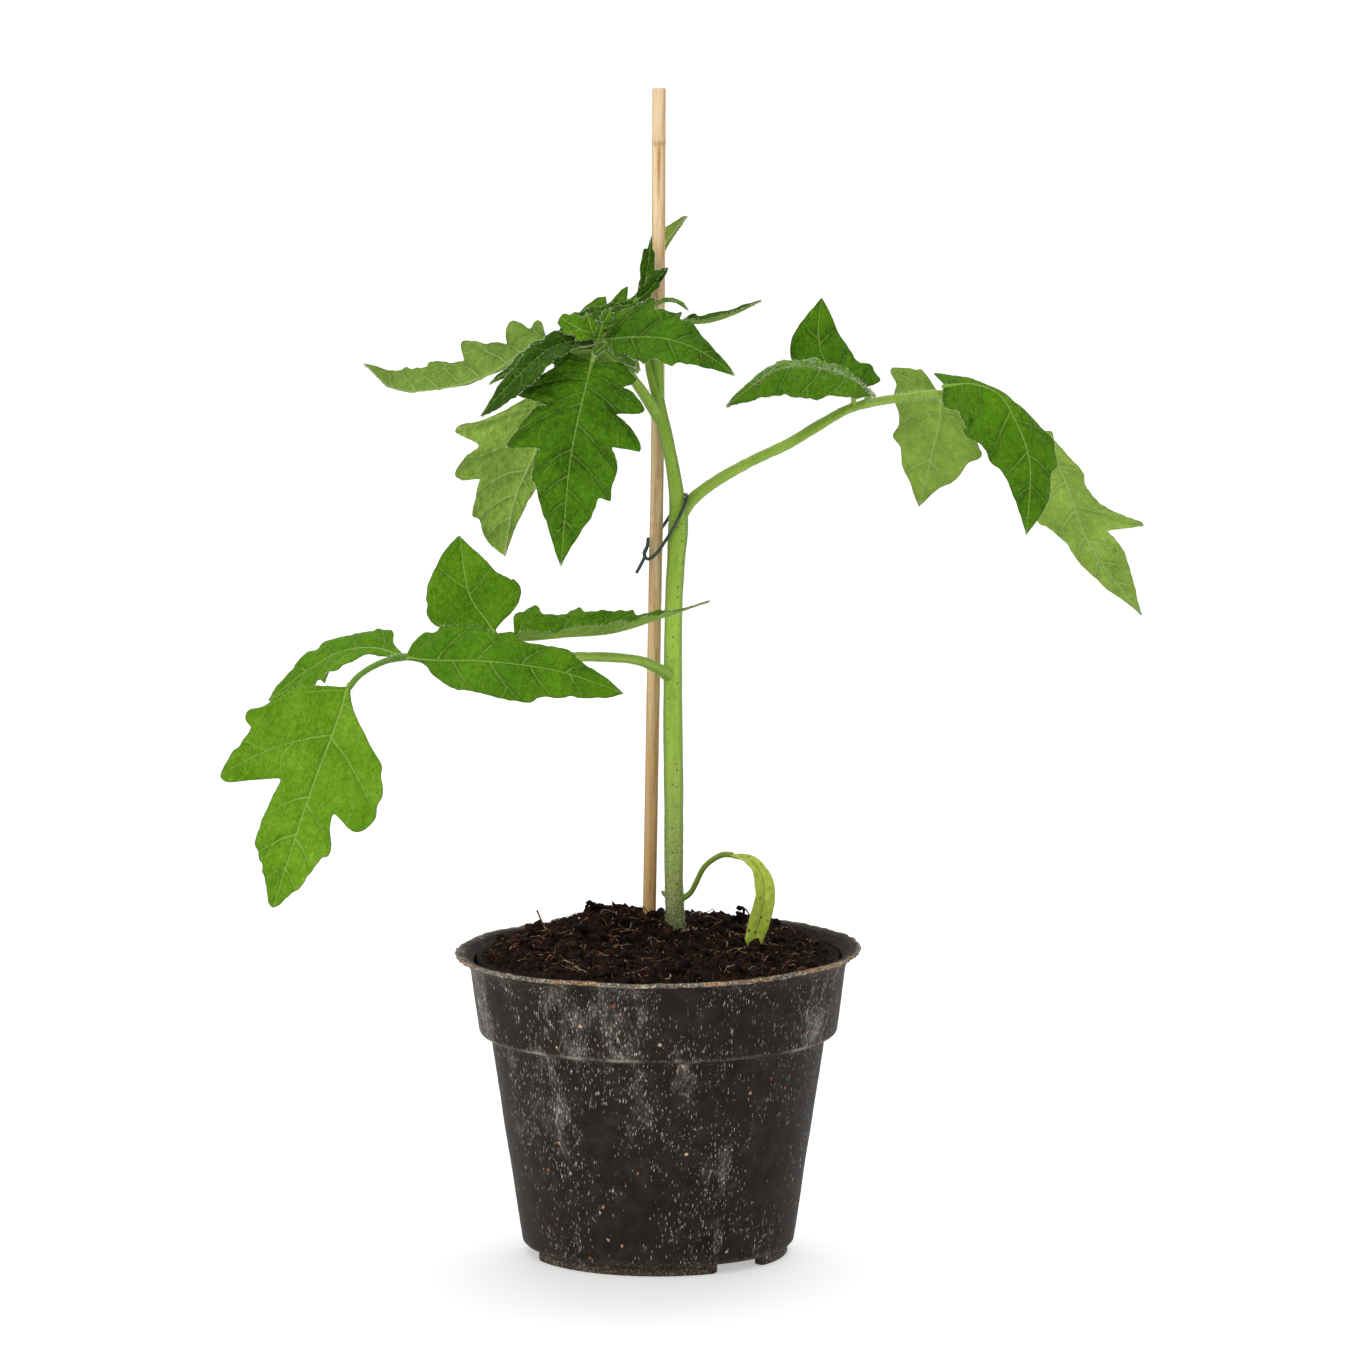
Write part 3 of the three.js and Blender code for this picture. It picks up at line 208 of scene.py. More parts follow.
RIGHT = dict(stalks=[
    [[5.8, 13, 217, 2.2], [9.5, 15, 222, 1.9], [16, 18, 227, 1.7], [27.2, 22, 233, 1.6],
     [38.5, 27, 237.8, 1.6], [48, 33, 242.8, 1.5], [57, 39, 247, 1.4], [70.4, 49, 248.8, 1.3],
     [85.3, 60, 249, 1.2], [98.3, 70, 245.2, 1], [109, 77, 239.3, 0.9], [114, 80, 235.3, 0.8]],
    [[58.3, 39.6, 247.2, 0.9], [58, 38.6, 250.4, 0.7], [57.9, 38, 253.3, 0.6]],
    [[61, 42, 247.8, 0.9], [62.4, 40, 250.1, 0.7], [63.6, 38, 251.5, 0.6]],
    [[85.3, 60, 249, 0.9], [84.9, 64, 247.4, 0.7]],
    [[85.3, 60, 249, 0.9], [86.1, 55, 252, 0.7]],
], leaflets=[
    # The upright leaflet.
    leaflet(
        0.28, [[57.9, 38, 253.3], [53.5, 41, 256.5], [49.4, 45, 261], [47.7, 49, 268],
            [48.7, 52, 278.7]],
        face=[0.1, -0.9, 0.4], fold=[10, 4], sweep=[-50, 42],
        left=[250, 30, 360, 60, 450, 86, 530, 96, 600, 82, 750, 44, 860, 22],
        right=[30, 52, 80, 71, 160, 79, 220, 89, 260, 74, 330, 76, 480, 83, 690, 56, 910, 16]),
    # The arched leaflet over the stalk.
    leaflet(
        0.45, [[63.6, 38, 251.5], [56.6, 33, 256.8], [46, 28, 260.6], [35.5, 25, 260.1],
            [20.4, 24, 249.5]],
        face=[0, -0.55, 0.85], fold=[-12, -6], sweep=[0, 42], fuzz=6, bristle=11,
        left=[60, 35, 180, 80, 270, 94, 390, 119, 500, 125, 550, 108, 715, 65, 810, 42, 920, 18],
        right=[50, 40, 120, 70, 200, 60, 350, 50, 475, 30, 570, 47, 610, 30, 710, 30, 850, 22]),
    # The back leaflet, underside in front.
    leaflet(
        0.8, [[84.9, 64, 247.4], [84.7, 68, 240.3], [82.7, 72, 230.8], [80.6, 75, 221],
            [78.7, 76, 213.4]],
        face=[0.1, 0.95, 0.3], fold=[10, 4], sweep=[-58, 42],
        left=[10, 55, 60, 80, 140, 115, 240, 160, 270, 136, 330, 146, 420, 126, 490, 120, 550, 129,
            580, 98, 670, 83, 800, 42],
        right=[80, 46, 160, 64, 280, 80, 370, 96, 450, 114, 500, 130, 550, 150, 590, 116, 670, 95,
            800, 40]),
    # The drooping front leaflet.
    leaflet(
        0.35, [[86, 55, 252], [93.7, 50, 253.2], [101.4, 47, 250.5], [106, 45, 243.5],
            [110.6, 44, 231], [110, 45, 208.7]],
        face=[0.15, -0.85, 0.5], fold=[-28, -8], sweep=[-48, 40],
        left=[10, 80, 80, 55, 150, 25, 240, 12, 340, 24, 430, 49, 520, 78, 590, 105, 620, 94,
            660, 93, 690, 70, 770, 66, 860, 42],
        right=[50, 44, 100, 69, 160, 80, 220, 114, 340, 135, 455, 152, 500, 128, 600, 116, 650, 90,
            780, 51, 900, 20]),
    # The end leaflet, underside in front.
    leaflet(
        0.85, [[114, 80, 235.3], [119.2, 86, 228.5], [123.7, 91, 219.1], [130.8, 97, 200.2],
            [147.4, 103, 176.7]],
        face=[0.25, 0.9, 0.35], fold=[8, 4], sweep=[5, 50],
        left=[40, 45, 220, 114, 370, 139, 440, 105, 540, 70, 680, 58, 890, 20],
        right=[30, 42, 80, 30, 185, 41, 250, 64, 310, 55, 385, 76, 410, 106, 445, 158, 490, 176,
            510, 120, 530, 65, 620, 78, 770, 52, 900, 21]),
])

UPPER_LEFT = dict(stalks=[
    [[0.8, 10, 246.8, 1.9], [-2, 7, 251.7, 1.7], [-7.5, 2, 260.2, 1.5], [-12.5, -1.5, 265.6, 1.4],
     [-16.3, -3.5, 269.3, 1.3], [-19.8, -4, 271.7, 1.2], [-25.6, -3, 273.7, 1],
     [-30.6, -1, 272.9, 0.8], [-32.7, 0, 272.2, 0.7]],
    [[-16.9, -3.5, 269.6, 0.9], [-18, -7, 268.6, 0.8], [-19.2, -9, 266.1, 0.7]],
    [[-19.2, -3.5, 271.4, 0.9], [-22.8, 0, 267.2, 0.8], [-26.9, 2, 260.2, 0.7]],
    [[-17, -3.5, 269.6, 0.9], [-16, -4, 272, 0.8]],
    [[-25.4, -3, 273.6, 0.8], [-25.2, 0, 275, 0.7], [-25.1, 2, 275.5, 0.6]],
    [[-25.6, -3, 273.7, 0.8], [-28.5, -4.5, 272.2, 0.6], [-30, -5.5, 270.6, 0.6]],
    [[-16.6, -4.5, 272.1, 0.7], [-19.8, -7, 270.8, 0.6], [-23.3, -7, 270.6, 0.55],
     [-27.7, -4, 267.9, 0.45]],
    [[-16.3, -4.5, 271.5, 0.7], [-13.1, -5.5, 268.9, 0.65], [-9.6, -3.5, 266.7, 0.6],
     [-6.1, -1, 262.6, 0.55]],
    [[-16.3, -5, 272.1, 0.6], [-15.1, -6, 271.2, 0.5], [-14.8, -6.5, 271.1, 0.4]],
], leaflets=[
    # The large front leaflet.
    leaflet(
        0.25, [[-19.2, -9, 266], [-22, -15, 255], [-25.3, -21, 239.3], [-28.1, -27, 208.7]],
        face=[-0.05, -0.95, 0.3], fold=[8, 4], sweep=[-15, 45],
        left=[16, 86, 36, 106, 67, 129, 87, 141, 102, 135, 113, 125, 122, 110, 133, 131, 159, 157,
            191, 180, 204, 189, 217, 176, 221, 156, 225, 129, 229, 104, 241, 120, 261, 145,
            284, 170, 315, 191, 345, 202, 353, 200, 357, 179, 361, 152, 365, 130, 369, 115,
            394, 128, 426, 138, 453, 141, 490, 138, 529, 132, 564, 131, 581, 129, 586, 117,
            591, 99, 610, 91, 641, 87, 691, 77, 740, 62, 801, 46, 881, 25, 963, 8],
        right=[15, 74, 33, 96, 65, 122, 83, 122, 92, 102, 119, 118, 155, 145, 204, 172, 243, 193,
            247, 177, 251, 133, 255, 106, 259, 98, 263, 115, 287, 133, 322, 150, 369, 171,
            404, 188, 413, 178, 417, 149, 421, 115, 425, 91, 438, 99, 474, 104, 534, 105, 550, 100,
            566, 91, 596, 86, 656, 74, 744, 53, 844, 32, 944, 13]),
    # The leaflet behind it, underside in front.
    leaflet(
        0.55, [[-26.9, 2, 260.2], [-32, 8, 248.6], [-36.2, 12, 237], [-42.2, 14, 222.7],
            [-45.2, 14, 206.3]],
        face=[0.1, 0.95, 0.3], fold=[8, 4], sweep=[-5, 50],
        left=[50, 40, 166, 75, 250, 127, 300, 184, 330, 234, 370, 243, 400, 187, 420, 159,
            460, 185, 505, 193, 540, 165, 560, 115, 680, 115, 720, 90, 780, 78, 890, 43],
        right=[50, 30, 150, 80, 240, 115, 300, 75, 420, 95, 500, 60, 630, 42, 720, 33, 820, 19]),
    # The folded leaflet to the far left, underside in front.
    leaflet(
        0.25, [[-32.7, 0, 272.2], [-41.3, 3, 266.6], [-49.3, 6, 261.2], [-61.7, 10, 256.7],
            [-77.4, 13, 256], [-86.2, 14, 263]],
        face=[0.05, 0.77, 0.64], fold=[52, 44], sweep=[-20, 50],
        left=[12, 54, 30, 66, 50, 64, 68, 58, 90, 76, 115, 99, 140, 108, 165, 101, 182, 78,
            190, 56, 225, 76, 280, 100, 330, 120, 360, 127, 380, 122, 393, 106, 400, 86, 410, 70,
            450, 74, 500, 82, 545, 88, 565, 86, 578, 76, 600, 71, 667, 68, 740, 58, 820, 43,
            904, 24],
        right=[60, 45, 150, 70, 200, 40, 320, 80, 370, 50, 520, 60, 750, 34]),
    # The leaflet to the right, over the stem.
    leaflet(
        0.27, [[-16, -4, 272], [-7.8, -9, 273.3], [2.7, -15, 273.4], [12.6, -19, 270.2],
            [22.2, -21, 263.6]],
        face=[0.1, -0.8, 0.6], fold=[4, 2], sweep=[-40, 45],
        left=[66, 41, 129, 74, 184, 88, 251, 109, 310, 130, 353, 139, 357, 130, 361, 109, 365, 92,
            412, 94, 455, 101, 478, 106, 485, 101, 489, 86, 493, 76, 546, 76, 595, 65, 627, 54,
            718, 36, 813, 24, 913, 14],
        right=[87, 21, 139, 42, 193, 59, 246, 73, 253, 59, 273, 60, 306, 71, 360, 87, 406, 99,
            442, 109, 446, 93, 450, 80, 477, 83, 540, 88, 581, 89, 589, 81, 596, 72, 676, 58,
            773, 37, 845, 25, 923, 13]),
    # A toothed leaflet seen edge on.
    leaflet(
        0.3, [[-26.6, 2, 276], [-19.9, 6, 278.5], [-12.6, 9, 280.4], [-5.2, 12, 282],
            [-1.7, 13.5, 283.4]],
        face=[0, -0.3, 1], fold=[40, 40], sweep=[10, 50],
        left=[100, 16, 200, 24, 300, 40, 370, 50, 430, 46, 452, 30, 467, 18, 505, 26, 550, 45,
            587, 58, 626, 59, 652, 40, 684, 16, 732, 22, 783, 34, 839, 36, 881, 22, 893, 14],
        right=[100, 14, 200, 10, 320, 18, 400, 11, 550, 19, 620, 11, 800, 16]),
    # A young leaflet in the middle.
    leaflet(
        0.6, [[-17.7, -4.5, 272.9], [-22.7, -8, 275.6], [-28.5, -8, 278.9]],
        face=[-0.2, -0.8, 0.55], fold=[20, 10],
        left=[120, 26, 220, 22, 380, 48, 450, 32, 620, 42, 680, 26, 820, 22],
        right=[120, 23, 220, 20, 380, 43, 450, 29, 620, 38, 680, 23, 820, 20]),
    # A second young one.
    leaflet(
        0.6, [[-17.7, -4, 270.8], [-19.2, -6.4, 275.1], [-20.6, -6, 280]],
        face=[0, -0.95, 0.3], fold=[20, 10],
        left=[200, 20, 500, 22, 750, 12]),
    # A third, curled.
    leaflet(
        0.45, [[-16.6, -5.5, 273.3], [-15.7, -7.5, 277.4], [-13.6, -7, 281.4]],
        face=[0.2, -0.9, 0.35], fold=[30, 20], base=0.4,
        left=[200, 16.2, 380, 22.95, 460, 14.85, 650, 17.55, 820, 9.45]),
    # A bright one at the middle.
    leaflet(
        0.6, [[-17.4, -6, 272.5], [-16.8, -8, 275.1], [-16.2, -8.5, 277.7]],
        face=[0.3, -0.9, 0.3], fold=[30, 20], base=0.4,
        left=SMALL_MARGIN),
    # A bud below the middle.
    leaflet(
        0.4, [[-15.1, -6, 271], [-16.8, -9, 269.9], [-18.8, -10.5, 268.3]],
        face=[0, -0.8, 0.6], fold=[35, 20], base=0.4,
        left=SMALL_MARGIN),
    # A thin one that hangs behind, underside in front.
    leaflet(
        0.95, [[-9.3, -2.5, 268.6], [-7.8, -4.5, 266.2], [-5.8, -5, 262.4]],
        face=[-0.2, 0.9, 0.3], fold=[10, 10], base=0.4,
        left=[120, 19, 300, 26, 420, 18, 600, 15, 800, 8]),
    # A small one below the right leaflet.
    leaflet(
        0.5, [[-15.8, -4.6, 270.4], [-11, -7, 268.8], [-6.6, -9, 264.6]],
        face=[0.5, -0.4, 0.75], fold=[15, 10],
        left=[150, 26, 350, 40, 450, 28, 650, 26, 850, 12]),
    # A hairy one behind the young ones.
    leaflet(
        0.2, [[-28, 0.5, 276.8], [-20.4, 4.5, 278.5], [-12.8, 7.5, 280.1], [-4.9, 10.5, 281.8]],
        face=[0, -0.8, 0.6], fold=[10, 10], sweep=[0, 40],
        left=[100, 14, 200, 20, 260, 14, 400, 22, 460, 15, 620, 20, 680, 12, 850, 14],
        right=[100, 32, 200, 50, 260, 40, 400, 66, 480, 54, 620, 68, 700, 52, 850, 40]),
    # A pale one below the middle, underside in front.
    leaflet(
        0.85, [[-26.2, -4.6, 268.5], [-19.8, -4, 269.1], [-12.2, -2, 267.4], [-5.2, -0.5, 262.8]],
        face=[0.1, 0.9, -0.3], fold=[12, 8], sweep=[0, 35],
        left=[100, 26, 250, 42, 320, 36, 500, 46, 620, 40, 850, 24],
        right=[120, 24, 300, 34, 380, 27, 550, 38, 620, 31, 800, 26]),
    # The upper dark folded leaflet.
    leaflet(
        0.08, [[-28.5, -4.4, 272.4], [-34.3, -8, 269.2], [-42.5, -12, 264], [-49.1, -14, 260.2]],
        face=[-0.3, -0.6, 0.75], fold=[14, 8], plump=1.4,
        left=[100, 26, 300, 34, 360, 24, 600, 26, 800, 14],
        right=[100, 26, 250, 44, 330, 28, 500, 36, 580, 22, 800, 14]),
    # The lower dark folded leaflet.
    leaflet(
        0.05, [[-18, -4.5, 271.6], [-24.1, -7, 272], [-31.4, -10, 270], [-38.9, -14, 264],
            [-45.8, -18, 257.4], [-51.3, -20, 251.6]],
        face=[-0.35, -0.62, 0.7], fold=[24, 12], sweep=[-10, 45], plump=1.4,
        left=[40, 27, 165, 56, 280, 78, 394, 88, 475, 87, 588, 77, 741, 55, 882, 30],
        right=[30, 32, 80, 45, 150, 70, 190, 68, 210, 50, 260, 51, 290, 48, 320, 33, 380, 42,
            420, 45, 472, 35, 579, 32, 702, 28, 856, 13]),
])

SHOOT_TIP = dict(stalks=[
    [[-2.4, 9, 280.9, 0.9], [-3.2, 8.8, 282.6, 0.9], [-3.8, 8.5, 284, 0.7]],
    [[-2.6, 9, 281.4, 0.8], [-4.4, 10.6, 283, 0.7], [-4.3, 13.6, 285.6, 0.6],
     [-2.6, 17, 288.7, 0.5]],
    [[-2.5, 8.8, 281.3, 0.8], [-1.4, 6.6, 281.6, 0.6]],
    [[-2.5, 8.8, 281.3, 0.8], [-1, 5.4, 279.4, 0.6], [3, 3.4, 277.6, 0.5], [6.8, 2, 277, 0.5]],
], leaflets=[
    # The upright folded leaflet at the stake.
    leaflet(
        0.05, [[-3.8, 8.5, 283], [-3.5, 7.8, 288.4], [-2.4, 7.3, 295.8], [-1.8, 6.6, 301.5]],
        face=[-0.25, -0.95, 0.1], fold=[30, 30], sweep=[10, 50], base=0.6,
        left=[60, 24, 200, 22, 260, 19, 400, 24, 600, 23, 690, 20, 750, 9, 880, 5],
        right=[60, 26, 140, 22, 220, 34, 340, 70, 400, 30, 580, 23, 680, 19, 750, 9, 880, 5]),
    # A dark curled one at its foot.
    leaflet(
        0, [[-6.1, 7.5, 282.6], [-3.2, 6.5, 284.8], [-0.4, 6, 288], [2.9, 6, 292.2]],
        face=[-0.5, -0.8, 0.3], fold=[35, 25], sweep=[0, 40],
        left=[120, 24, 250, 30, 330, 20, 500, 28, 600, 18, 800, 15],
        right=[120, 22, 250, 28, 330, 19, 500, 26, 600, 17, 800, 14]),
    # The leaflet behind the stake, underside in front; its low tone darkens it as painted shade.
    leaflet(
        0.35, [[-2.6, 17, 288.7], [1.8, 18.5, 297.5], [8.6, 19.4, 306]],
        face=[0.4, 0.9, -0.2], fold=[6, 4], sweep=[10, 40],
        left=[300, 14, 500, 10, 750, 6],
        right=[200, 14, 400, 29, 590, 33, 670, 27, 750, 23, 840, 17, 920, 12]),
    # A thin curled one.
    leaflet(
        0.4, [[-1.4, 6.6, 281.6], [2.7, 4, 282.8], [6.2, 2, 282.4], [8.9, 1, 280.4]],
        face=[0.1, -0.5, 0.9], fold=[30, 20], sweep=[10, 40],
        left=[300, 12, 700, 10]),
    # The leaflet that reaches right.
    leaflet(
        0.15, [[6.8, 2, 277], [14.4, 0, 277], [22.6, -1, 279.6], [30.2, -2, 283.5]],
        face=[-0.1, -0.15, 1], fold=[42, 30], sweep=[10, 45],
        left=[100, 32, 160, 26, 300, 40, 400, 34, 600, 27, 800, 16],
        right=[100, 30, 350, 34, 600, 24, 800, 13]),
])


# Forms.


def unit(v):
    """Each row of v at length one."""
    return v / np.maximum(np.linalg.norm(v, axis=-1, keepdims=True), 1e-9)


def step(low, high, x):
    """0 up to low, 1 from high on, and 3t² - 2t³ between them."""
    t = np.clip((np.asarray(x, float) - low) / (high - low), 0, 1)
    return t * t * (3 - 2 * t)


def bell(x, width):
    """exp(-(x / width)²)."""
    return np.exp(-((np.asarray(x, float) / width) ** 2))


def ripple(points, wavelength, rng, waves=14):
    """Smooth unevenness, mostly between -1 and 1: a sum of plane waves in seeded directions."""
    ways = unit(rng.normal(size=(waves, points.shape[-1])))
    lengths = wavelength * rng.uniform(0.7, 1.4, waves)
    phase = 2 * np.pi * points @ (ways / lengths[:, None]).T + rng.uniform(0, 2 * np.pi, waves)
    return np.sin(phase).sum(-1) * (2 / waves) ** 0.5 / 1.6


def spline(stations, steps=30):
    """The centripetal Catmull-Rom curve through rows of numbers, whose first three are a place.

    Between two stations it is the cubic whose end slopes come from the neighbours, weighed by the
    square roots of the distances. The stations next to the ends are mirrored past them.
    """
    p = np.asarray(stations, float)
    p = np.vstack([2 * p[0] - p[1], p, 2 * p[-1] - p[-2]])
    gap = np.sqrt(np.linalg.norm(np.diff(p[:, :3], axis=0), axis=1))[:, None]
    d0, d1, d2 = gap[:-2], gap[1:-1], gap[2:]
    p0, p1, p2, p3 = p[:-3], p[1:-2], p[2:-1], p[3:]
    m1 = d1 * ((p1 - p0) / d0 - (p2 - p0) / (d0 + d1) + (p2 - p1) / d1)
    m2 = d1 * ((p2 - p1) / d1 - (p3 - p1) / (d1 + d2) + (p3 - p2) / d2)
    t = np.linspace(0, 1, steps, endpoint=False)[:, None]
    bend = 3 * (p2 - p1) - 2 * m1 - m2
    ease = 2 * (p1 - p2) + m1 + m2
    spans = p1[:, None] + m1[:, None] * t + bend[:, None] * t**2 + ease[:, None] * t**3
    return np.vstack([spans.reshape(-1, p.shape[1]), p[-2]])


def even(way, spacing):
    """A curve's points moved along it to about equal distances."""
    run = np.concatenate([[0], np.cumsum(np.linalg.norm(np.diff(way[:, :3], axis=0), axis=1))])
    at = np.linspace(0, run[-1], max(3, int(np.ceil(run[-1] / spacing)) + 1))
    return np.stack([np.interp(at, run, column) for column in way.T], 1)


def grid_faces(rows, columns, ring=False):
    """Four-cornered faces between the points of a grid, whose columns may close to a ring."""
    i, j = np.meshgrid(np.arange(rows - 1), np.arange(columns - (not ring)), indexing="ij")
    i, j = i.ravel(), j.ravel()
    k = (j + 1) % columns
    here, after = i * columns, (i + 1) * columns
    return np.stack([here + j, after + j, after + k, here + k], 1)


def ring_faces(rows, columns):
    """The faces of a grid whose columns close to a ring, and a fan at each end to a pole: the
    point next to the grid's last for its first row, and the one after that for its last row."""
    j = np.arange(columns)
    k = (j + 1) % columns
    first, last = (np.full(columns, rows * columns + n) for n in (0, 1))
    far = (rows - 1) * columns
    start = np.stack([j, k, first, first], 1)
    end = np.stack([k + far, j + far, last, last], 1)
    return np.vstack([grid_faces(rows, columns, ring=True), start, end])


def put(name, data):
    """An object of the data in the scene."""
    made = bpy.data.objects.new(name, data)
    bpy.context.scene.collection.objects.link(made)
    return made


class Shells:
    """Closed shells gathered into one mesh. Each point carries two sets of three numbers for the
    materials: vein and lay. A face with three corners names its last one twice."""

    def __init__(self):
        self.count = 0
        self.points, self.faces, self.finish, self.vein, self.lay = [], [], [], [], []

    def add(self, points, faces, finish=0, vein=(9, 9, 9), lay=(0.5, 0.5, 0.5)):
        """Faces are turned outwards where the volume that they close in comes out negative. Their
        finish is the number of a material in the piece's list."""
        points = np.asarray(points, float).reshape(-1, 3)
        a, b, c, d = (points[faces[:, k]] - points[0] for k in range(4))
        volume = (a * np.cross(b, c)).sum() + (a * np.cross(c, d)).sum()
        if volume < 0:
            faces = faces[:, [1, 0, 3, 2]]
        self.points.append(points)
        self.faces.append(faces + self.count)
        self.finish.append(np.broadcast_to(finish, len(faces)))
        self.vein.append(np.broadcast_to(vein, points.shape))
        self.lay.append(np.broadcast_to(lay, points.shape))
        self.count += len(points)

    def shape(self, name, materials):
        """The mesh as an object in the frame's place, in metres."""
        points = np.concatenate(self.points) * MM + POT_AXIS
        faces = np.concatenate(self.faces)
        kept = np.ones(faces.shape, bool)
        kept[:, 3] = faces[:, 2] != faces[:, 3]
        mesh = bpy.data.meshes.new(name)
        mesh.vertices.add(len(points))
        mesh.vertices.foreach_set("co", points.ravel())
        mesh.loops.add(int(kept.sum()))
        mesh.loops.foreach_set("vertex_index", faces[kept].astype(np.int32))
        mesh.polygons.add(len(faces))
        starts = np.concatenate([[0], np.cumsum(kept.sum(1))[:-1]])
        mesh.polygons.foreach_set("loop_start", starts.astype(np.int32))
        mesh.polygons.foreach_set("material_index", np.concatenate(self.finish).astype(np.int32))
        mesh.polygons.foreach_set("use_smooth", np.ones(len(faces), bool))
        mesh.update(calc_edges=True)
        for label, parts in (("vein", self.vein), ("lay", self.lay)):
            values = mesh.attributes.new(label, "FLOAT_VECTOR", "POINT")
            values.data.foreach_set("vector", np.concatenate(parts).astype(np.float32).ravel())
        for material in materials:
            mesh.materials.append(material)
        return put(name, mesh)

    def piece(self, name, materials, nodes=(), slot=None):
        """The object as a piece that rides on the frame and stands for the named CAD nodes."""
        made = self.shape(name, materials)
        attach(made, "root")
        if nodes:
            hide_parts(*nodes)
        return made

    def add_tube(self, way, radius, sides, rounded=False, finish=0, lay=None):
        """A tube. Without a lay, its third number tells how far a point looks towards +X, which
        the stem and stake finishes use for painted shade at their sides.
        """
        points, faces, outward, grid = tube(way, radius, sides, rounded)
        if lay is None:
            across = np.append(outward[..., 0].ravel(), [0, 0])
            lay = np.stack([0 * across, 0 * across, across], 1)
        self.add(points, faces, finish, lay=lay)
        return outward, grid


def tube(way, radius, sides, rounded=False):
    """A round shell about a curve: C + r (cos a · across + sin a · over), and a pole at each end.

    across and over stand square to the curve, measured from the direction in which it bends least.
    radius has one value a row or one a point. Rounded ends get three more rings each. Returns
    points, faces, the outward directions and the points of the grid alone.
    """
    radius = np.broadcast_to(np.asarray(radius, float).reshape(len(way), -1), (len(way), sides))
    along = unit(np.gradient(way, axis=0))
    if rounded:
        angles = np.radians([72, 45, 20])
        lift, thin = np.sin(angles)[:, None], np.cos(angles)[:, None]
        head = way[0] - along[0] * radius[0, 0] * lift
        tail = way[-1] + along[-1] * radius[-1, 0] * lift[::-1]
        way = np.vstack([head, way, tail])
        radius = np.vstack([radius[0] * thin, radius, radius[-1] * thin[::-1]])
        along = np.vstack([along[[0] * 3], along, along[[-1] * 3]])
    least = np.linalg.svd(way - way.mean(0), full_matrices=False)[2][2]
    over = unit(np.cross(along, least))
    across = np.cross(over, along)
    a = np.linspace(0, 2 * np.pi, sides, endpoint=False)[:, None]
    outward = across[:, None] * np.cos(a) + over[:, None] * np.sin(a)
    grid = way[:, None] + radius[..., None] * outward
    reach = radius[0, 0] * 0.06 if rounded else 0
    poles = np.stack([way[0] - along[0] * reach, way[-1] + along[-1] * reach])
    points = np.vstack([grid.reshape(-1, 3), poles])
    return points, ring_faces(len(way), sides), outward, grid


# Hairs.


class Hairs:
    """Roots, directions and lengths of hairs, made one mesh of slim three-sided spikes."""

    def __init__(self, rng):
        self.rng = rng
        self.roots, self.ways, self.lengths = [], [], []

    def strew(self, points, outward, count, shortest, longest, lean=0.35):
        """Hairs on seeded picks of the points, leaning at random off the outward direction."""
        points, outward = points.reshape(-1, 3), outward.reshape(-1, 3)
        pick = self.rng.integers(0, len(points), count)
        mate = np.clip(pick + self.rng.integers(-1, 2, count), 0, len(points) - 1)
        near = np.linalg.norm(points[mate] - points[pick], axis=1) < 2
        mate = np.where(near, mate, pick)
        part = self.rng.uniform(0, 1, (count, 1))
        self.roots.append(points[pick] * (1 - part) + points[mate] * part)
        self.ways.append(unit(outward[pick] + lean * self.rng.normal(size=(count, 3))))
        self.lengths.append(self.rng.uniform(shortest, longest, count))

    def piece(self, name, thick, slot):
        """Base corners at thick / 2 round the root, tip at root + way · length: four faces."""
        roots, ways = np.concatenate(self.roots), np.concatenate(self.ways)
        lengths = np.concatenate(self.lengths)[:, None]
        side = unit(np.cross(ways, [0.31, 0.52, 0.79]))
        other = np.cross(ways, side)
        corners = [
            roots - 0.1 * ways + thick / 2 * (np.cos(a) * side + np.sin(a) * other)
            for a in np.radians([0, 120, 240])
        ]
        points = np.stack([*corners, roots + lengths * ways], 1)
        faces = np.array([[0, 1, 3, 3], [1, 2, 3, 3], [2, 0, 3, 3], [0, 2, 1, 1]])
        faces = (faces + 4 * np.arange(len(roots))[:, None, None]).reshape(-1, 4)
        shells = Shells()
        shells.add(points, faces)
        return shells.piece(name, [HAIR], slot=slot)


# Leaves.


def rib_table(spec, places=300):
    """A midrib's length, and a row at some even places along it: centre, along, up, left."""
    way = even(spline(spec["rib"], 40), 0.2)
    length = np.linalg.norm(np.diff(way, axis=0), axis=1).sum()
    centre = even(way, length / (places - 1))
    along = unit(np.gradient(centre, axis=0))
    share = np.linspace(0, 1, len(centre))[:, None]
    face = np.array(spec["face"], float)
    hint = face + (np.array(spec.get("face_tip", face), float) - face) * share
    up = unit(hint - (hint * along).sum(1)[:, None] * along)
    return length, np.hstack([centre, along, up, np.cross(up, along)])


def rib_frame(length, table, x):
    """centre, along, up and left at x, between the table's rows or run on straight past them."""
    place = np.clip(x / length, 0, 1) * (len(table) - 1)
    low = np.minimum(place.astype(int), len(table) - 2)
    part = (place - low)[..., None]
    rows = table[low] * (1 - part) + table[low + 1] * part
    centre, along, up, left = np.split(rows, 4, axis=-1)
    past = x - np.clip(x, 0, length)
    return centre + along * past[..., None], along, up, left


def margin(listing, u):
    """The listed [u, w] read as a smooth line that keeps its highs and lows: cubic pieces whose
    slopes are the harmonic means of the neighbouring ones, and 0 where the list turns."""
    at, out = np.array(listing, float).T
    rise = np.diff(out) / np.diff(at)
    same = rise[:-1] * rise[1:] > 0
    mean = np.where(same, 2 * rise[:-1] * rise[1:] / np.where(same, rise[:-1] + rise[1:], 1), 0)
    slope = np.concatenate([rise[:1], mean, rise[-1:]])
    k = np.clip(np.searchsorted(at, u, side="right") - 1, 0, len(rise) - 1)
    gap = at[k + 1] - at[k]
    t = (u - at[k]) / gap
    return (
        out[k] * (1 + 2 * t) * (1 - t) ** 2
        + out[k + 1] * t * t * (3 - 2 * t)
        + gap * slope[k] * t * (1 - t) ** 2
        - gap * slope[k + 1] * t * t * (1 - t)
    )


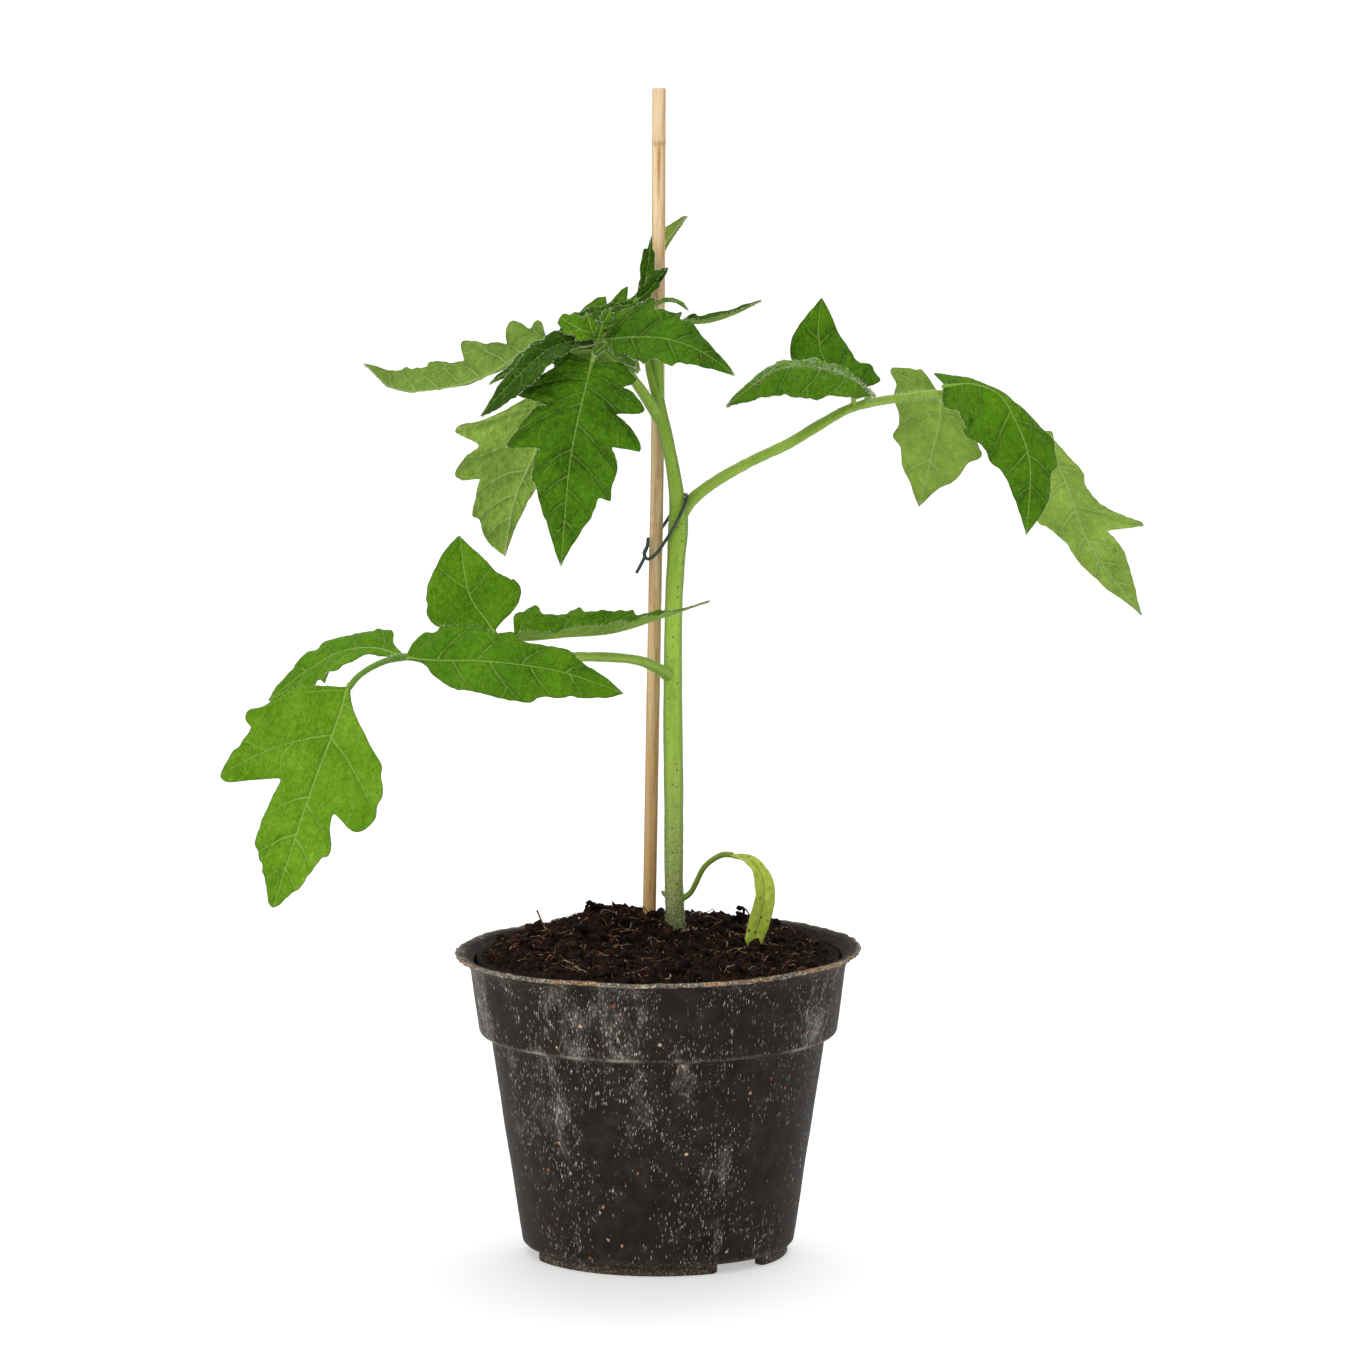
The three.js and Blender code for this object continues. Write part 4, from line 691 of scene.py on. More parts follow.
def lobe_tips(listing, least=0.9):
    """Where the margin stands out furthest on each lobe: its highs that the line dips between by
    that many millimetres."""
    u = np.linspace(0, 1, 400)
    wide = margin(listing, u)
    tips = []
    for k in np.flatnonzero((wide[1:-1] >= wide[:-2]) & (wide[1:-1] > wide[2:])) + 1:
        if tips and wide[tips[-1] : k].min() > min(wide[tips[-1]], wide[k]) - least:
            tips[-1] = k if wide[k] > wide[tips[-1]] else tips[-1]
        else:
            tips.append(k)
    return u[tips]


def side_veins(listing, length, lean, spacing):
    """The side veins of one half: where each starts on the midrib, where it ends, and the blade's
    width there. One runs to each lobe's tip, with more between them, and each leans forward."""
    peaks = lobe_tips(listing)
    ends = np.concatenate([[0], peaks[peaks < 0.9], [0.93]])
    parts = np.maximum(1, np.round(np.diff(ends) * length / spacing)).astype(int)
    u = np.concatenate([np.linspace(a, b, n + 1)[:-1] for a, b, n in zip(ends, ends[1:], parts)])
    u = u[u > 0.02]
    wide = margin(listing, u)
    end = u * length + wide * (lean[0] + (lean[1] - lean[0]) * u)
    forward = np.tan(np.radians(VEIN_LEAN[0] + VEIN_LEAN[1] * u))
    start = np.maximum(end - wide * forward, 0.02 * length)
    steady = np.arange(len(u)) * min(2.2, 0.6 * length / len(u))
    start = np.maximum.accumulate(start - steady) + steady
    end = np.maximum.accumulate(end - 0.6 * steady) + 0.6 * steady
    return start, end, wide


def vein_field(veins, x, out):
    """A number that is whole on each side vein and runs evenly between them, and their distance.

    A vein runs at x = start + (end - start) t - bend w t (1 - t), where t = out / w."""
    start, end, wide = (v[:, None, None] for v in veins)
    t = out / wide
    bend = 0.42 + 0.16 * np.sin(5 * start)
    line = start + (end - start) * t - bend * wide * t * np.maximum(0, 1 - t)
    line = np.concatenate([line[:1] - 30, line, line[-1:] + 30])
    steady = 0.4 * np.arange(len(line))[:, None, None]
    line = np.maximum.accumulate(line - steady) + steady
    gap = np.diff(line, axis=0)
    part = np.clip((x - line[:-1]) / gap, 0, 1)
    slope = (end - start) / wide
    square = np.sqrt(1 + np.concatenate([slope[:1], slope]) ** 2)
    inside = (part > 0) & (part < 1)
    spacing = (inside * gap / square).sum(0)
    return part.sum(0), np.where(spacing > 0, spacing, 6)


def blade(shells, hairs, spec, rng, puff=0.5, fuzz=1.0, gap=7.5):
    """A leaflet's blade, a thin shell whose upper and under side meet along the margin.

    A point is u along the midrib and s out from it, at x = u · length + s · tan(sweep). Each half
    is turned up by the fold, rounded at the midrib. Between the side veins the blade puffs up by
    the sine of the way from one to the next. The midrib and the veins are grooves above and
    ridges below, and the margin ripples a little.
    """
    length, table = rib_table(spec)
    fuzz = fuzz * spec.get("fuzz", 1)
    lean = np.tan(np.radians(spec["sweep"]))
    fold = np.radians(spec["fold"])
    lists = {-1: spec["right"], 1: spec["left"]}

    fine = np.linspace(0, 1, 1500)
    edges = [margin(listing, fine) for listing in lists.values()]
    pace = np.sqrt(length**2 + 0.35 * sum(np.gradient(edge, fine) ** 2 for edge in edges))
    run = np.concatenate([[0], np.cumsum(pace[1:]) / len(fine)])
    u = np.interp(np.linspace(0, run[-1], int(run[-1] / ROW_SPACING) + 2), run, fine)
    u[-1] = 1

    widest = max(edge.max() for edge in edges)
    count = int(np.clip(widest / ROW_SPACING, 5, 34))
    outer = 1 - (1 - np.linspace(0, 1, count + 1)[1:]) ** 1.25
    halves = {}
    for side, listing in lists.items():
        wide = margin(listing, u)[:, None]
        nicks = ripple(np.stack([u * length, 0.6 * wide[:, 0]], 1), 4.2, rng)[:, None]
        wide = wide + 0.13 * nicks * np.minimum(1, wide / 6) * step(1, 0.96, u)[:, None]
        near = np.array([0.22, 0.5, 0.9, 1.5]) * np.minimum(1, wide / 3)
        halves[side] = np.hstack([near, near[:, -1:] + (wide - near[:, -1:]) * outer])
    s = np.hstack([-halves[-1][:, ::-1], np.zeros((len(u), 1)), halves[1]])
    out = np.abs(s)
    wide = np.where(s < 0, out[:, :1], out[:, -1:])
    reach = out / wide

    grid = np.broadcast_to(u[:, None], s.shape)
    x = grid * length + out * (lean[0] + (lean[1] - lean[0]) * grid)
    centre, _, up, left = rib_frame(length, table, x)
    share = np.clip(x / length, 0, 1)
    turn = fold[0] + (fold[1] - fold[0]) * share

    right_field, left_field = (
        vein_field(side_veins(listing, length, lean, gap), x, out) for listing in lists.values())
    rank, spacing = (np.where(s < 0, a, b) for a, b in zip(right_field, left_field))
    phase = rank - np.floor(rank)
    from_vein = np.minimum(phase, 1 - phase) * spacing

    flat = centre + left * s[..., None]
    quilt = puff * np.minimum(1, spacing / 6) * np.sin(np.pi * phase) ** 0.65
    quilt *= 1 - np.exp(-out / 1.2)
    quilt *= (1 - 0.6 * reach**3) * step(0, 0.05, grid) * step(1, 0.93, grid)
    body = np.minimum(1, wide / 7)
    quilt += 0.42 * puff * ripple(flat, 2.5, rng) * step(0.4, 1.6, out) * body
    knots = np.linspace(0, 1, 14)
    drift = {half: np.interp(u, knots, rng.normal(0, 0.55, len(knots))) for half in (-1, 1)}
    sway = np.where(s < 0, drift[-1][:, None], drift[1][:, None])
    sway = (sway - 0.25) * reach**2 * np.minimum(1.4, wide / 8)
    sway += 0.45 * ripple(flat, 15, rng) * step(0.1, 1, reach) * body
    sway += 0.22 * ripple(flat, 5.5, rng) * reach**4 * body

    soft = np.sqrt(out**2 + MIDRIB_FILLET**2)
    rise = np.sin(turn) * (soft - MIDRIB_FILLET) + quilt + sway
    middle = centre + left * (s * np.cos(turn))[..., None] + up * rise[..., None]
    tip_over = (s / soft * np.sin(turn))[..., None]
    normal = unit(up * np.cos(turn)[..., None] - left * tip_over)

    slim = 1 - 0.7 * share
    vein_ridge = bell(from_vein, 0.42) * step(0.3, 1, out) * (1 - 0.65 * reach)
    groove = 0.24 * slim * bell(out, 0.45) + 0.08 * vein_ridge
    ridge = 0.42 * slim * bell(out, 0.5 * (0.4 + 0.6 * slim)) + 0.2 * vein_ridge
    ends = np.minimum(np.arange(len(u)), np.arange(len(u))[::-1])[:, None] > 0
    rim = np.sqrt(np.clip(1 - reach**6, 0, 1)) * ends
    upper = middle + normal * ((BLADE / 2 - groove) * rim)[..., None]
    under = middle - normal * ((BLADE / 2 + ridge) * rim)[..., None]

    edge = np.vstack([middle[:, 0], middle[:, -1]]).astype(np.float32)
    apart = middle[:, :, None].astype(np.float32) - edge
    from_edge = np.sqrt((apart**2).sum(-1).min(-1))

    rows, columns = s.shape
    lower = np.arange(rows * columns).reshape(rows, columns)
    inner = (rows - 2) * (columns - 2)
    lower[1:-1, 1:-1] = rows * columns + np.arange(inner).reshape(rows - 2, -1)
    faces = grid_faces(rows, columns)
    below = lower.ravel()[faces][:, [1, 0, 3, 2]]
    points = np.vstack([upper.reshape(-1, 3), under[1:-1, 1:-1].reshape(-1, 3)])

    def both(*fields):
        """What the fields say at the upper points, then at the inner points below."""
        return np.stack(
            [np.concatenate([field.ravel(), field[1:-1, 1:-1].ravel()]) for field in fields], 1)

    finish = np.repeat([0, 1], len(faces))
    shells.add(points, np.vstack([faces, below]), finish, both(rank, out, from_edge),
               both(share, np.full(s.shape, spec["tone"]), spacing))

    outward = unit(np.vstack([middle[:, 0] - middle[:, 1], middle[:, -1] - middle[:, -2]]))
    rim_ways = outward + 0.2 * np.vstack([normal[:, 0], normal[:, -1]])
    rim_length = np.linalg.norm(np.diff(middle[:, [0, -1]], axis=0), axis=-1).sum()
    keel, bristly = out < 0.3, (out < 1.7) & (grid < 0.8)
    open_part = np.s_[1:-1, 2:-2]
    for places, ways, count, lengths, slant in (
        (edge, rim_ways, fuzz * rim_length * 2.2, (0.25, 0.85), 0.35),
        (under[keel], -normal[keel], fuzz * length * 5, (0.3, 1), 0.5),
        (upper[keel], normal[keel], fuzz * length * 1.3, (0.2, 0.7), 0.5),
        (upper[bristly], normal[bristly], spec.get("bristle", 0) * length, (0.7, 1.9), 0.55),
        (upper[open_part], normal[open_part], fuzz * length * widest * 0.03, (0.15, 0.5), 0.35),
        (under[open_part], -normal[open_part], fuzz * length * widest * 0.12, (0.2, 0.6), 0.35),
    ):
        hairs.strew(places, ways, int(count), *lengths, slant)
    neck(shells, length, table, spec["tone"])


def neck(shells, length, table, tone):
    """A leaflet's short stalk: a tube that starts in the leaf's stalk and thins out under the
    midrib, as far as a fifth of its length."""
    x = np.linspace(-1.2, 0.22 * length, 24)
    centre, _, up, _ = rib_frame(length, table, x)
    blend = step(-0.5, 0.12 * length, x)[:, None]
    way = centre - up * (0.1 + 0.35 * blend)
    radius = 0.62 - 0.37 * step(0, 0.2 * length, x)
    shells.add_tube(way, radius, 12, finish=2, lay=(0.6, tone, 0))


def stalk(shells, hairs, stations, rng, sides=16, spacing=0.8, fuzz=1.0, finish=2, shade=0):
    """A stalk through [x, y, z, radius] stations, a little uneven in thickness. Its outer quarter
    is darker by the shade: painted shade. Its lay also tells how far each point looks up, which
    the stalk green paints darker below: painted shade."""
    way = even(spline(stations), spacing)
    angle = np.linspace(0, 2 * np.pi, sides, endpoint=False)
    uneven = 0.04 * ripple(way[:, :3], 5, rng)[:, None] + 0.03 * np.cos(3 * angle)
    points, faces, outward, grid = tube(way[:, :3], way[:, 3:] * (1 + uneven), sides)
    share = np.repeat(np.linspace(0, 1, len(way)), sides)
    lay = np.stack([share, 1 - shade * step(0.74, 0.84, share), outward[..., 2].ravel()], 1)
    shells.add(points, faces, finish, lay=np.vstack([lay, lay[:1], lay[-1:]]))
    length = spacing * len(way)
    hairs.strew(grid, outward, int(fuzz * length * way[:, 3].mean() * 10), 0.3, 1.1)


def compound(name, leaf, node, slot, seed, puff=0.5, fuzz=1.0, gap=7.5):
    """A compound leaf: its stalks, its leaflets on their necks, and its hairs. puff is how far it
    swells between side veins, gap how far these are apart, and fuzz how hairy it is."""
    rng = np.random.default_rng(seed)
    shells, hairs = Shells(), Hairs(rng)
    for stations in leaf["stalks"]:
        stalk(shells, hairs, stations, rng, fuzz=fuzz, shade=leaf.get("shade", 0))
    for spec in leaf["leaflets"]:
        plump = spec.get("plump", 1)
        blade(shells, hairs, spec, rng, puff * plump, fuzz * plump, gap)
    shells.piece(name, [LEAF_UPPER, LEAF_UNDER, STALK_GREEN], [node], slot)
    hairs.piece(name + "_hairs", LEAF_HAIR, slot)


# Stem, seed leaf, stake and tie.


def green_stem():
    """The main stem: a tube through its stations with faint lengthwise ribs, the stub of the lost
    seed leaf and the fork below the top."""
    rng = np.random.default_rng(11)
    shells, hairs = Shells(), Hairs(rng)
    sides = 48
    way = even(spline(STEM), 0.7)
    angle = np.linspace(0, 2 * np.pi, sides, endpoint=False)
    ribs = np.cos(5 * angle + way[:, 2:3] / 30)
    uneven = 0.012 * ribs + 0.02 * ripple(way[:, :3], 9, rng)[:, None]
    outward, grid = shells.add_tube(way[:, :3], way[:, 3:] * (1 + uneven), sides, rounded=True)
    foot = (grid[..., 2] > 93) & (grid[..., 2] < 108)
    hairs.strew(grid[foot], outward[foot], 900, 0.3, 1.0)
    hairs.strew(grid[60:], outward[60:], 5000, 0.3, 1.2)
    for branch in (SEED_LEAF_SCAR, STEM_FORK):
        way = even(spline(branch), 0.3)
        outward, grid = shells.add_tube(way[:, :3], way[:, 3], 20, rounded=True)
        hairs.strew(grid, outward, 2 * len(way), 0.3, 1.1)
    shells.piece("green_stem", [STEM_GREEN], ["stem"], "stem")
    hairs.piece("green_stem_hairs", STEM_HAIR, "stem")


def withered_seed_leaf():
    """The old seed leaf: its arched thread of a stalk and its strap of a blade."""
    rng = np.random.default_rng(23)
    shells, hairs = Shells(), Hairs(rng)
    stalk(shells, hairs, SEED_STALK, rng, spacing=0.5, fuzz=0.4, finish=1)
    blade(shells, hairs, SEED_BLADE, rng, puff=0.12, fuzz=0.25)
    shells.piece("old_seed_leaf", [SEED_LEAF_SKIN] * 3, ["seed_leaf"], "seed_leaf")
    hairs.piece("old_seed_leaf_hairs", SEED_LEAF_HAIR, "seed_leaf")


def split_stake():
    """The stake: a round stick, cut flat, with fine lengthwise grooves and a faint node ring."""
    rng = np.random.default_rng(31)
    way = even(spline(STAKE), 2.2)
    sides = 56
    angle = np.linspace(0, 2 * np.pi, sides, endpoint=False)
    groove = ripple(np.stack([np.cos(angle), np.sin(angle)], 1), 0.35, rng, 24)
    radius = STAKE_RADIUS * (1 + 0.014 * groove + 0.012 * ripple(way, 40, rng)[:, None])
    radius = radius * (1 + 0.035 * bell(way[:, 2:] - NODE_RING, 1.4))
    top = way[-1] + unit(way[-1] - way[-2]) * np.array([[-0.25], [0]])
    way = np.vstack([way[:-1], top])
    radius = np.vstack([radius[:-1], radius[-1:], radius[-1:] * 0.93])
    shells = Shells()
    shells.add_tube(way, radius, sides)
    shells.piece("split_bamboo_stake", [BAMBOO], ["bamboo_stake"], "bamboo")


def wire_tie():
    """The tie: round wire along its two routes, and the two ends wound about each other."""
    shells = Shells()
    for route in (WIRE_FRONT, WIRE_BACK):
        way = even(spline(route), 0.25)
        shells.add_tube(way, np.full(len(way), WIRE_RADIUS), 16, rounded=True)
    shells.piece("wire_tie_twist", [COATED_WIRE], ["wire_tie"], "wire")


# Pot.


def lathe(profile, sides, shift):
    """A closed profile of [radius, height] turned about the upright axis, with poles where it
    meets the axis: x = r sin a, y = -r cos a. shift moves the points between the poles."""
    profile = np.asarray(profile, float)
    a = np.linspace(0, 2 * np.pi, sides, endpoint=False)
    ring = np.stack([np.sin(a), -np.cos(a)], 1)
    body = profile[1:-1]
    points = shift(np.concatenate(
        [body[:, None, :1] * ring, np.repeat(body[:, None, 1:], sides, 1)], -1))
    poles = [[0, 0, profile[0, 1]], [0, 0, profile[-1, 1]]]
    return np.vstack([points.reshape(-1, 3), poles]), ring_faces(len(body), sides)


def rounded_profile(corners, radius=0.35, spacing=2.2):
    """A chain of [radius, height] corners: each is replaced by an arc's worth of points, and long
    stretches are divided."""
    corners = np.asarray(corners, float)
    line = [corners[:1]]
    for before, here, after in zip(corners, corners[1:], corners[2:]):
        back, ahead = before - here, after - here
        cut = min(radius, 0.4 * np.linalg.norm(back), 0.4 * np.linalg.norm(ahead))
        a, b = here + unit(back) * cut, here + unit(ahead) * cut
        t = np.linspace(0, 1, 4)[:, None]
        line.append((1 - t) ** 2 * a + 2 * t * (1 - t) * here + t**2 * b)
    line.append(corners[-1:])
    line = np.vstack(line)
    pieces = [line[:1]]
    for a, b in zip(line, line[1:]):
        n = max(1, int(np.linalg.norm(b - a) / spacing))
        t = np.linspace(0, 1, n + 1)[1:, None]
        pieces.append(a + (b - a) * t)
    return np.vstack(pieces)


def nursery_pot():
    """The pot: its wall turned from one profile, with a warped, frayed lip, and drained."""
    rng = np.random.default_rng(41)
    top = COLLAR_TOP_RADIUS
    wall = rounded_profile([
        [0, BODY_BOTTOM], [BODY_BOTTOM_RADIUS - 1, BODY_BOTTOM],
        [BODY_BOTTOM_RADIUS, BODY_BOTTOM + 1], [BODY_TOP_RADIUS, BODY_TOP],
        [BODY_TOP_RADIUS + 0.4, BODY_TOP + 0.4], [COLLAR_BOTTOM_RADIUS - 0.4, COLLAR_BOTTOM - 0.4],
        [COLLAR_BOTTOM_RADIUS, COLLAR_BOTTOM + 0.4], [top, POT_HEIGHT - 5.5],
        [top + 0.8, POT_HEIGHT - 3.4], [top + 2.6, POT_HEIGHT - 1.8],
        [LIP_RADIUS, POT_HEIGHT - 1.1], [LIP_RADIUS, POT_HEIGHT],
        [top + 1.6, POT_HEIGHT - 0.5], [top - 1, POT_HEIGHT - 2.6], [top - 1.4, POT_HEIGHT - 6],
        [COLLAR_BOTTOM_RADIUS - WALL, COLLAR_BOTTOM + WALL],
        [BODY_TOP_RADIUS - WALL, BODY_TOP + WALL], [BODY_BOTTOM_RADIUS - WALL, FLOOR_TOP],
        [0, FLOOR_TOP],
    ])

    def worn(points):
        """The lip tilts to one side and its edge frays, and the wall is a little uneven."""
        x, y, z = np.moveaxis(points, -1, 0)
        r = np.hypot(x, y)
        lip = step(80, 89, z) * step(50, 56, r)
        z = z + lip * (LIP_WARP * x / LIP_RADIUS + 0.16 * ripple(points[..., :2], 34, rng))
        fray = sum(depth * ripple(points, wave, rng) for depth, wave in LIP_FRAY)
        brim = step(57, 60, r) * step(88, 89.5, z)
        z = z + brim * (0.2 * ripple(points[..., :2], 5, rng) - 0.1)
        out = step(58.5, 60, r) * (fray - 0.12) + 0.1 * ripple(points, 24, rng)
        out += 0.035 * ripple(points, 3, rng)
        out *= step(3, 6, z)
        return np.stack([x * (1 + out / r), y * (1 + out / r), z], -1)

    shells = Shells()
    shells.add(*lathe(wall, 288, worn))
    drain(shells.piece("nursery_pot", [FLECKED_POT], ["pot"], "pot"))


def drain(pot):
    """Cuts round holes in the pot's floor: one in the middle and one behind each notch."""
    drill = Shells()
    ends = np.array([[0, 0, -10], [0, 0, 0], [0, 0, 9]])
    ring = [(DRAIN_CIRCLE * np.sin(a), -DRAIN_CIRCLE * np.cos(a)) for a in np.radians(NOTCHES)]
    for x, y in [(0, 0)] + ring:
        drill.add_tube(ends + [x, y, 0], np.full(3, DRAIN_RADIUS), 40)
    cutter = drill.shape("drain_drill", [FLECKED_POT])
    cut = pot.modifiers.new("drain", "BOOLEAN")
    cut.object = cutter
    cut.solver = "EXACT"
    cut.use_self = True
    bpy.context.view_layer.update()
    drilled = pot.evaluated_get(bpy.context.evaluated_depsgraph_get())
    pot.data = bpy.data.meshes.new_from_object(drilled)
    pot.modifiers.clear()
    bpy.data.objects.remove(cutter)


def foot_ring():
    """The three pieces of the foot ring between its notches: a profile carried round an arc, a
    little thinner where it ends."""
    foot = Shells()
    steps = 60
    middle = (FOOT_INNER + FOOT_OUTER) / 2
    half = 60 - np.degrees(np.arcsin(NOTCH_WIDTH / 2 / FOOT_OUTER))
    loop = rounded_profile([
        [middle, 0], [FOOT_OUTER, 0], [FOOT_OUTER, FOOT_TOP], [FOOT_INNER, FOOT_TOP],
        [FOOT_INNER, 0], [middle, 0]], 0.5, 3)[:-1]
    from_end = np.minimum(np.arange(steps), np.arange(steps)[::-1])
    thin = 1 - 0.22 * bell(from_end, 0.7)
    radius, height = np.moveaxis(
        loop.mean(0) + (loop - loop.mean(0)) * thin[:, None, None], -1, 0)
    for notch in NOTCHES:
        a = np.radians(np.linspace(notch + 60 - half, notch + 60 + half, steps))[:, None]
        grid = np.stack([radius * np.sin(a), -radius * np.cos(a), height], -1)
        poles = [grid[0].mean(0), grid[-1].mean(0)]
        foot.add(np.vstack([grid.reshape(-1, 3), poles]), ring_faces(steps, len(loop)))
    foot.piece("pot_foot_ring", [FLECKED_POT], slot="pot")


# Compost.


def soil_height(x, y):
    """A dome that falls off with the square of the radius, plus a bell for each mound."""
    edge = COLLAR_TOP_RADIUS - WALL
    z = SOIL_EDGE + SOIL_DOME * (1 - (x**2 + y**2) / edge**2)
    for mx, my, height, width in MOUNDS:
        z = z + height * np.exp(-((x - mx) ** 2 + (y - my) ** 2) / (2 * width**2))
    return z


def clods(points, rng):
    """The compost's roughness: waves of four lengths, the longer ones folded up into lumps."""
    lumps = 1.1 - 2.2 * np.abs(ripple(points, 11, rng, 20))
    crumbs = 0.7 - 1.4 * np.abs(ripple(points, 4.6, rng, 24))
    fine = 0.45 * ripple(points, 2, rng, 24) + 0.28 * ripple(points, 1.1, rng, 24)
    return 1.1 * lumps + 1.15 * crumbs + fine


def potting_soil():
    """The compost: a rough top over the pot's filling, with crumbs, dark lumps, pale grains, thin
    bent threads, straighter sticks and the few long fibres that stand out."""
    rng = np.random.default_rng(53)
    inset = WALL + SOIL_GAP
    edge = COLLAR_TOP_RADIUS - inset
    shoulder = COLLAR_BOTTOM + 2 * WALL
    sides = 330
    below = [[0, FLOOR_TOP + 0.3], [BODY_BOTTOM_RADIUS - inset, FLOOR_TOP + 0.3],
             [BODY_TOP_RADIUS - inset, BODY_TOP], [BODY_TOP_RADIUS - inset, shoulder],
             [COLLAR_BOTTOM_RADIUS - inset, shoulder]]
    rings = [[edge * r, SOIL_EDGE] for r in np.linspace(1, 0, 112)]

    def heaped(points):
        """The rings above the shoulder take the heap's height and its roughness."""
        x, y, z = np.moveaxis(points, -1, 0)
        rough = clods(points[..., :2], rng) * step(0, 4, edge - np.hypot(x, y))
        z = np.where(z > shoulder + WALL, soil_height(x, y) + rough, z)
        return np.stack([x, y, z], -1)

    points, faces = lathe(below + rings, sides, heaped)
    points[-1, 2] = points[-2 - sides : -2, 2].mean()
    shells = Shells()
    shells.add(points, faces)
    top = points[:-2].reshape(-1, sides, 3)[4:]

    def on_top(count, reach=0.95):
        """Seeded places on the rough top, strewn evenly over its area."""
        r = reach * np.sqrt(rng.uniform(0, 1, count))
        row = np.clip(((1 - r) * (len(top) - 1)).astype(int), 0, len(top) - 1)
        return top[row, rng.integers(0, sides, count)]

    def pebbles(spots, sizes, tones):
        """Small lumps: an octahedron cut once into 32 faces, swollen unevenly, one a place."""
        corners, corner_faces = lump()
        n = len(spots)
        stretch = rng.uniform(0.55, 1.25, (n, 1, 3))
        knobbly = rng.uniform(0.72, 1.28, (n, len(corners), 1))
        angle = rng.uniform(0, 2 * np.pi, n)
        c, s = np.cos(angle)[:, None], np.sin(angle)[:, None]
        x, y, z = np.moveaxis(corners * knobbly * stretch, -1, 0)
        bodies = np.stack([x * c - z * s, y, x * s + z * c], -1)
        bodies = bodies * sizes[:, None, None] + spots[:, None]
        many = (corner_faces + len(corners) * np.arange(n)[:, None, None]).reshape(-1, 4)
        lay = np.zeros(bodies.shape)
        lay[..., 1] = tones[:, None]
        shells.add(bodies, many, lay=lay.reshape(-1, 3))

    crumbs, grains, round_stem = 1000, 130, 70
    spots = on_top(crumbs)
    pebbles(spots, 0.35 + 2.1 * rng.uniform(0, 1, crumbs) ** 4, rng.uniform(0.05, 0.85, crumbs))
    for cx, cy, cz, spread, count in LUMPS:
        heap = np.array([cx, cy, cz]) + rng.normal(0, spread, (count, 3)) * [1, 1, 0.8]
        pebbles(heap, rng.uniform(0.5, 1.3, count), rng.uniform(0.05, 0.3, count))
    pale = on_top(grains, 0.9)
    turn = rng.uniform(0, 2 * np.pi, round_stem)
    away = 4.2 + np.abs(rng.normal(0, 2, round_stem))
    near = STEM[1][:2] + np.stack([np.cos(turn), np.sin(turn)], 1) * away[:, None]
    pale[:round_stem, :2] = near
    pale[:round_stem, 2] = soil_height(near[:, 0], near[:, 1]) + 0.8
    pebbles(pale, 0.16 + 0.4 * rng.uniform(0, 1, grains) ** 2, rng.uniform(1.2, 1.7, grains))

    threads, sticks = 330, 70
    for spot in on_top(threads, 0.94):
        bend = rng.uniform(0, 2 * np.pi) + np.cumsum(rng.normal(0, 0.35, 6))
        stride = rng.uniform(0.5, 1.9)
        way = np.stack([np.cos(bend), np.sin(bend), rng.normal(0, 0.3, 6)], 1)
        path = spot + np.cumsum(way, 0) * stride
        inside = np.hypot(path[:, 0], path[:, 1]) < edge - 1
        lying = np.where(inside, soil_height(path[:, 0], path[:, 1]) + 0.7, path[:, 2])
        path[:, 2] = lying + rng.normal(0, 0.5, 6) + rng.uniform(-0.2, 0.9)
        if inside.all():
            way = spline(path, 3)
            thick = rng.uniform(0.1, 0.24) * (1 - 0.6 * np.linspace(0, 1, len(way)))
            shells.add_tube(way, thick, 4, lay=(0, rng.uniform(0.7, 1.5), 0))
    for spot in on_top(sticks, 0.85):
        turn = rng.uniform(0, np.pi)
        ahead = np.array([np.cos(turn), np.sin(turn), rng.normal(0, 0.15)]) * rng.uniform(2, 5.5)
        bow = rng.normal(0, 0.5, 3)
        path = np.array([spot - ahead, spot + bow, spot + ahead])
        lying = soil_height(path[:, 0], path[:, 1])
        path[:, 2] = lying + rng.uniform(0.6, 2) + rng.normal(0, 0.5, 3)
        if np.hypot(path[:, 0], path[:, 1]).max() < edge - 2:
            way = spline(path, 5)
            thick = np.linspace(rng.uniform(0.14, 0.3), 0.08, len(way))
            shells.add_tube(way, thick, 5, lay=(0, rng.uniform(0.7, 1.4), 0))
    for stations in FIBRES:
        way = spline(stations, 12)
        shells.add_tube(way, np.linspace(0.3, 0.16, len(way)), 8, lay=(0, 1.15, 0))
    shells.piece("potting_soil", [COMPOST], ["soil"], "compost")


def lump():
    """An octahedron with each face cut into four, its points moved out to one from the middle."""
    corners = np.vstack([np.eye(3), -np.eye(3)])[[0, 3, 1, 4, 2, 5]]
    sides = np.array([[0, 2, 4], [2, 1, 4], [1, 3, 4], [3, 0, 4],
                      [2, 0, 5], [1, 2, 5], [3, 1, 5], [0, 3, 5]])
    pairs = np.sort(np.vstack([sides[:, [0, 1]], sides[:, [1, 2]], sides[:, [2, 0]]]), axis=1)
    edges, which = np.unique(pairs, axis=0, return_inverse=True)
    ab, bc, ca = len(corners) + which.reshape(3, -1)
    a, b, c = sides.T
    parts = ((a, ab, ca), (ab, b, bc), (ca, bc, c), (ab, bc, ca))
    faces = np.vstack([np.stack(part, 1) for part in parts])
    points = np.vstack([corners, corners[edges].mean(1)])
    return unit(points), np.hstack([faces, faces[:, 2:]])


# Finishes.


def ink(code):
    """A colour written #RRGGBB, in linear light."""
    level = np.array([int(code[k : k + 2], 16) for k in (1, 3, 5)]) / 255
    light = np.where(level <= 0.04045, level / 12.92, ((level + 0.055) / 1.055) ** 2.4)
    return (*(float(v) for v in light), 1.0)


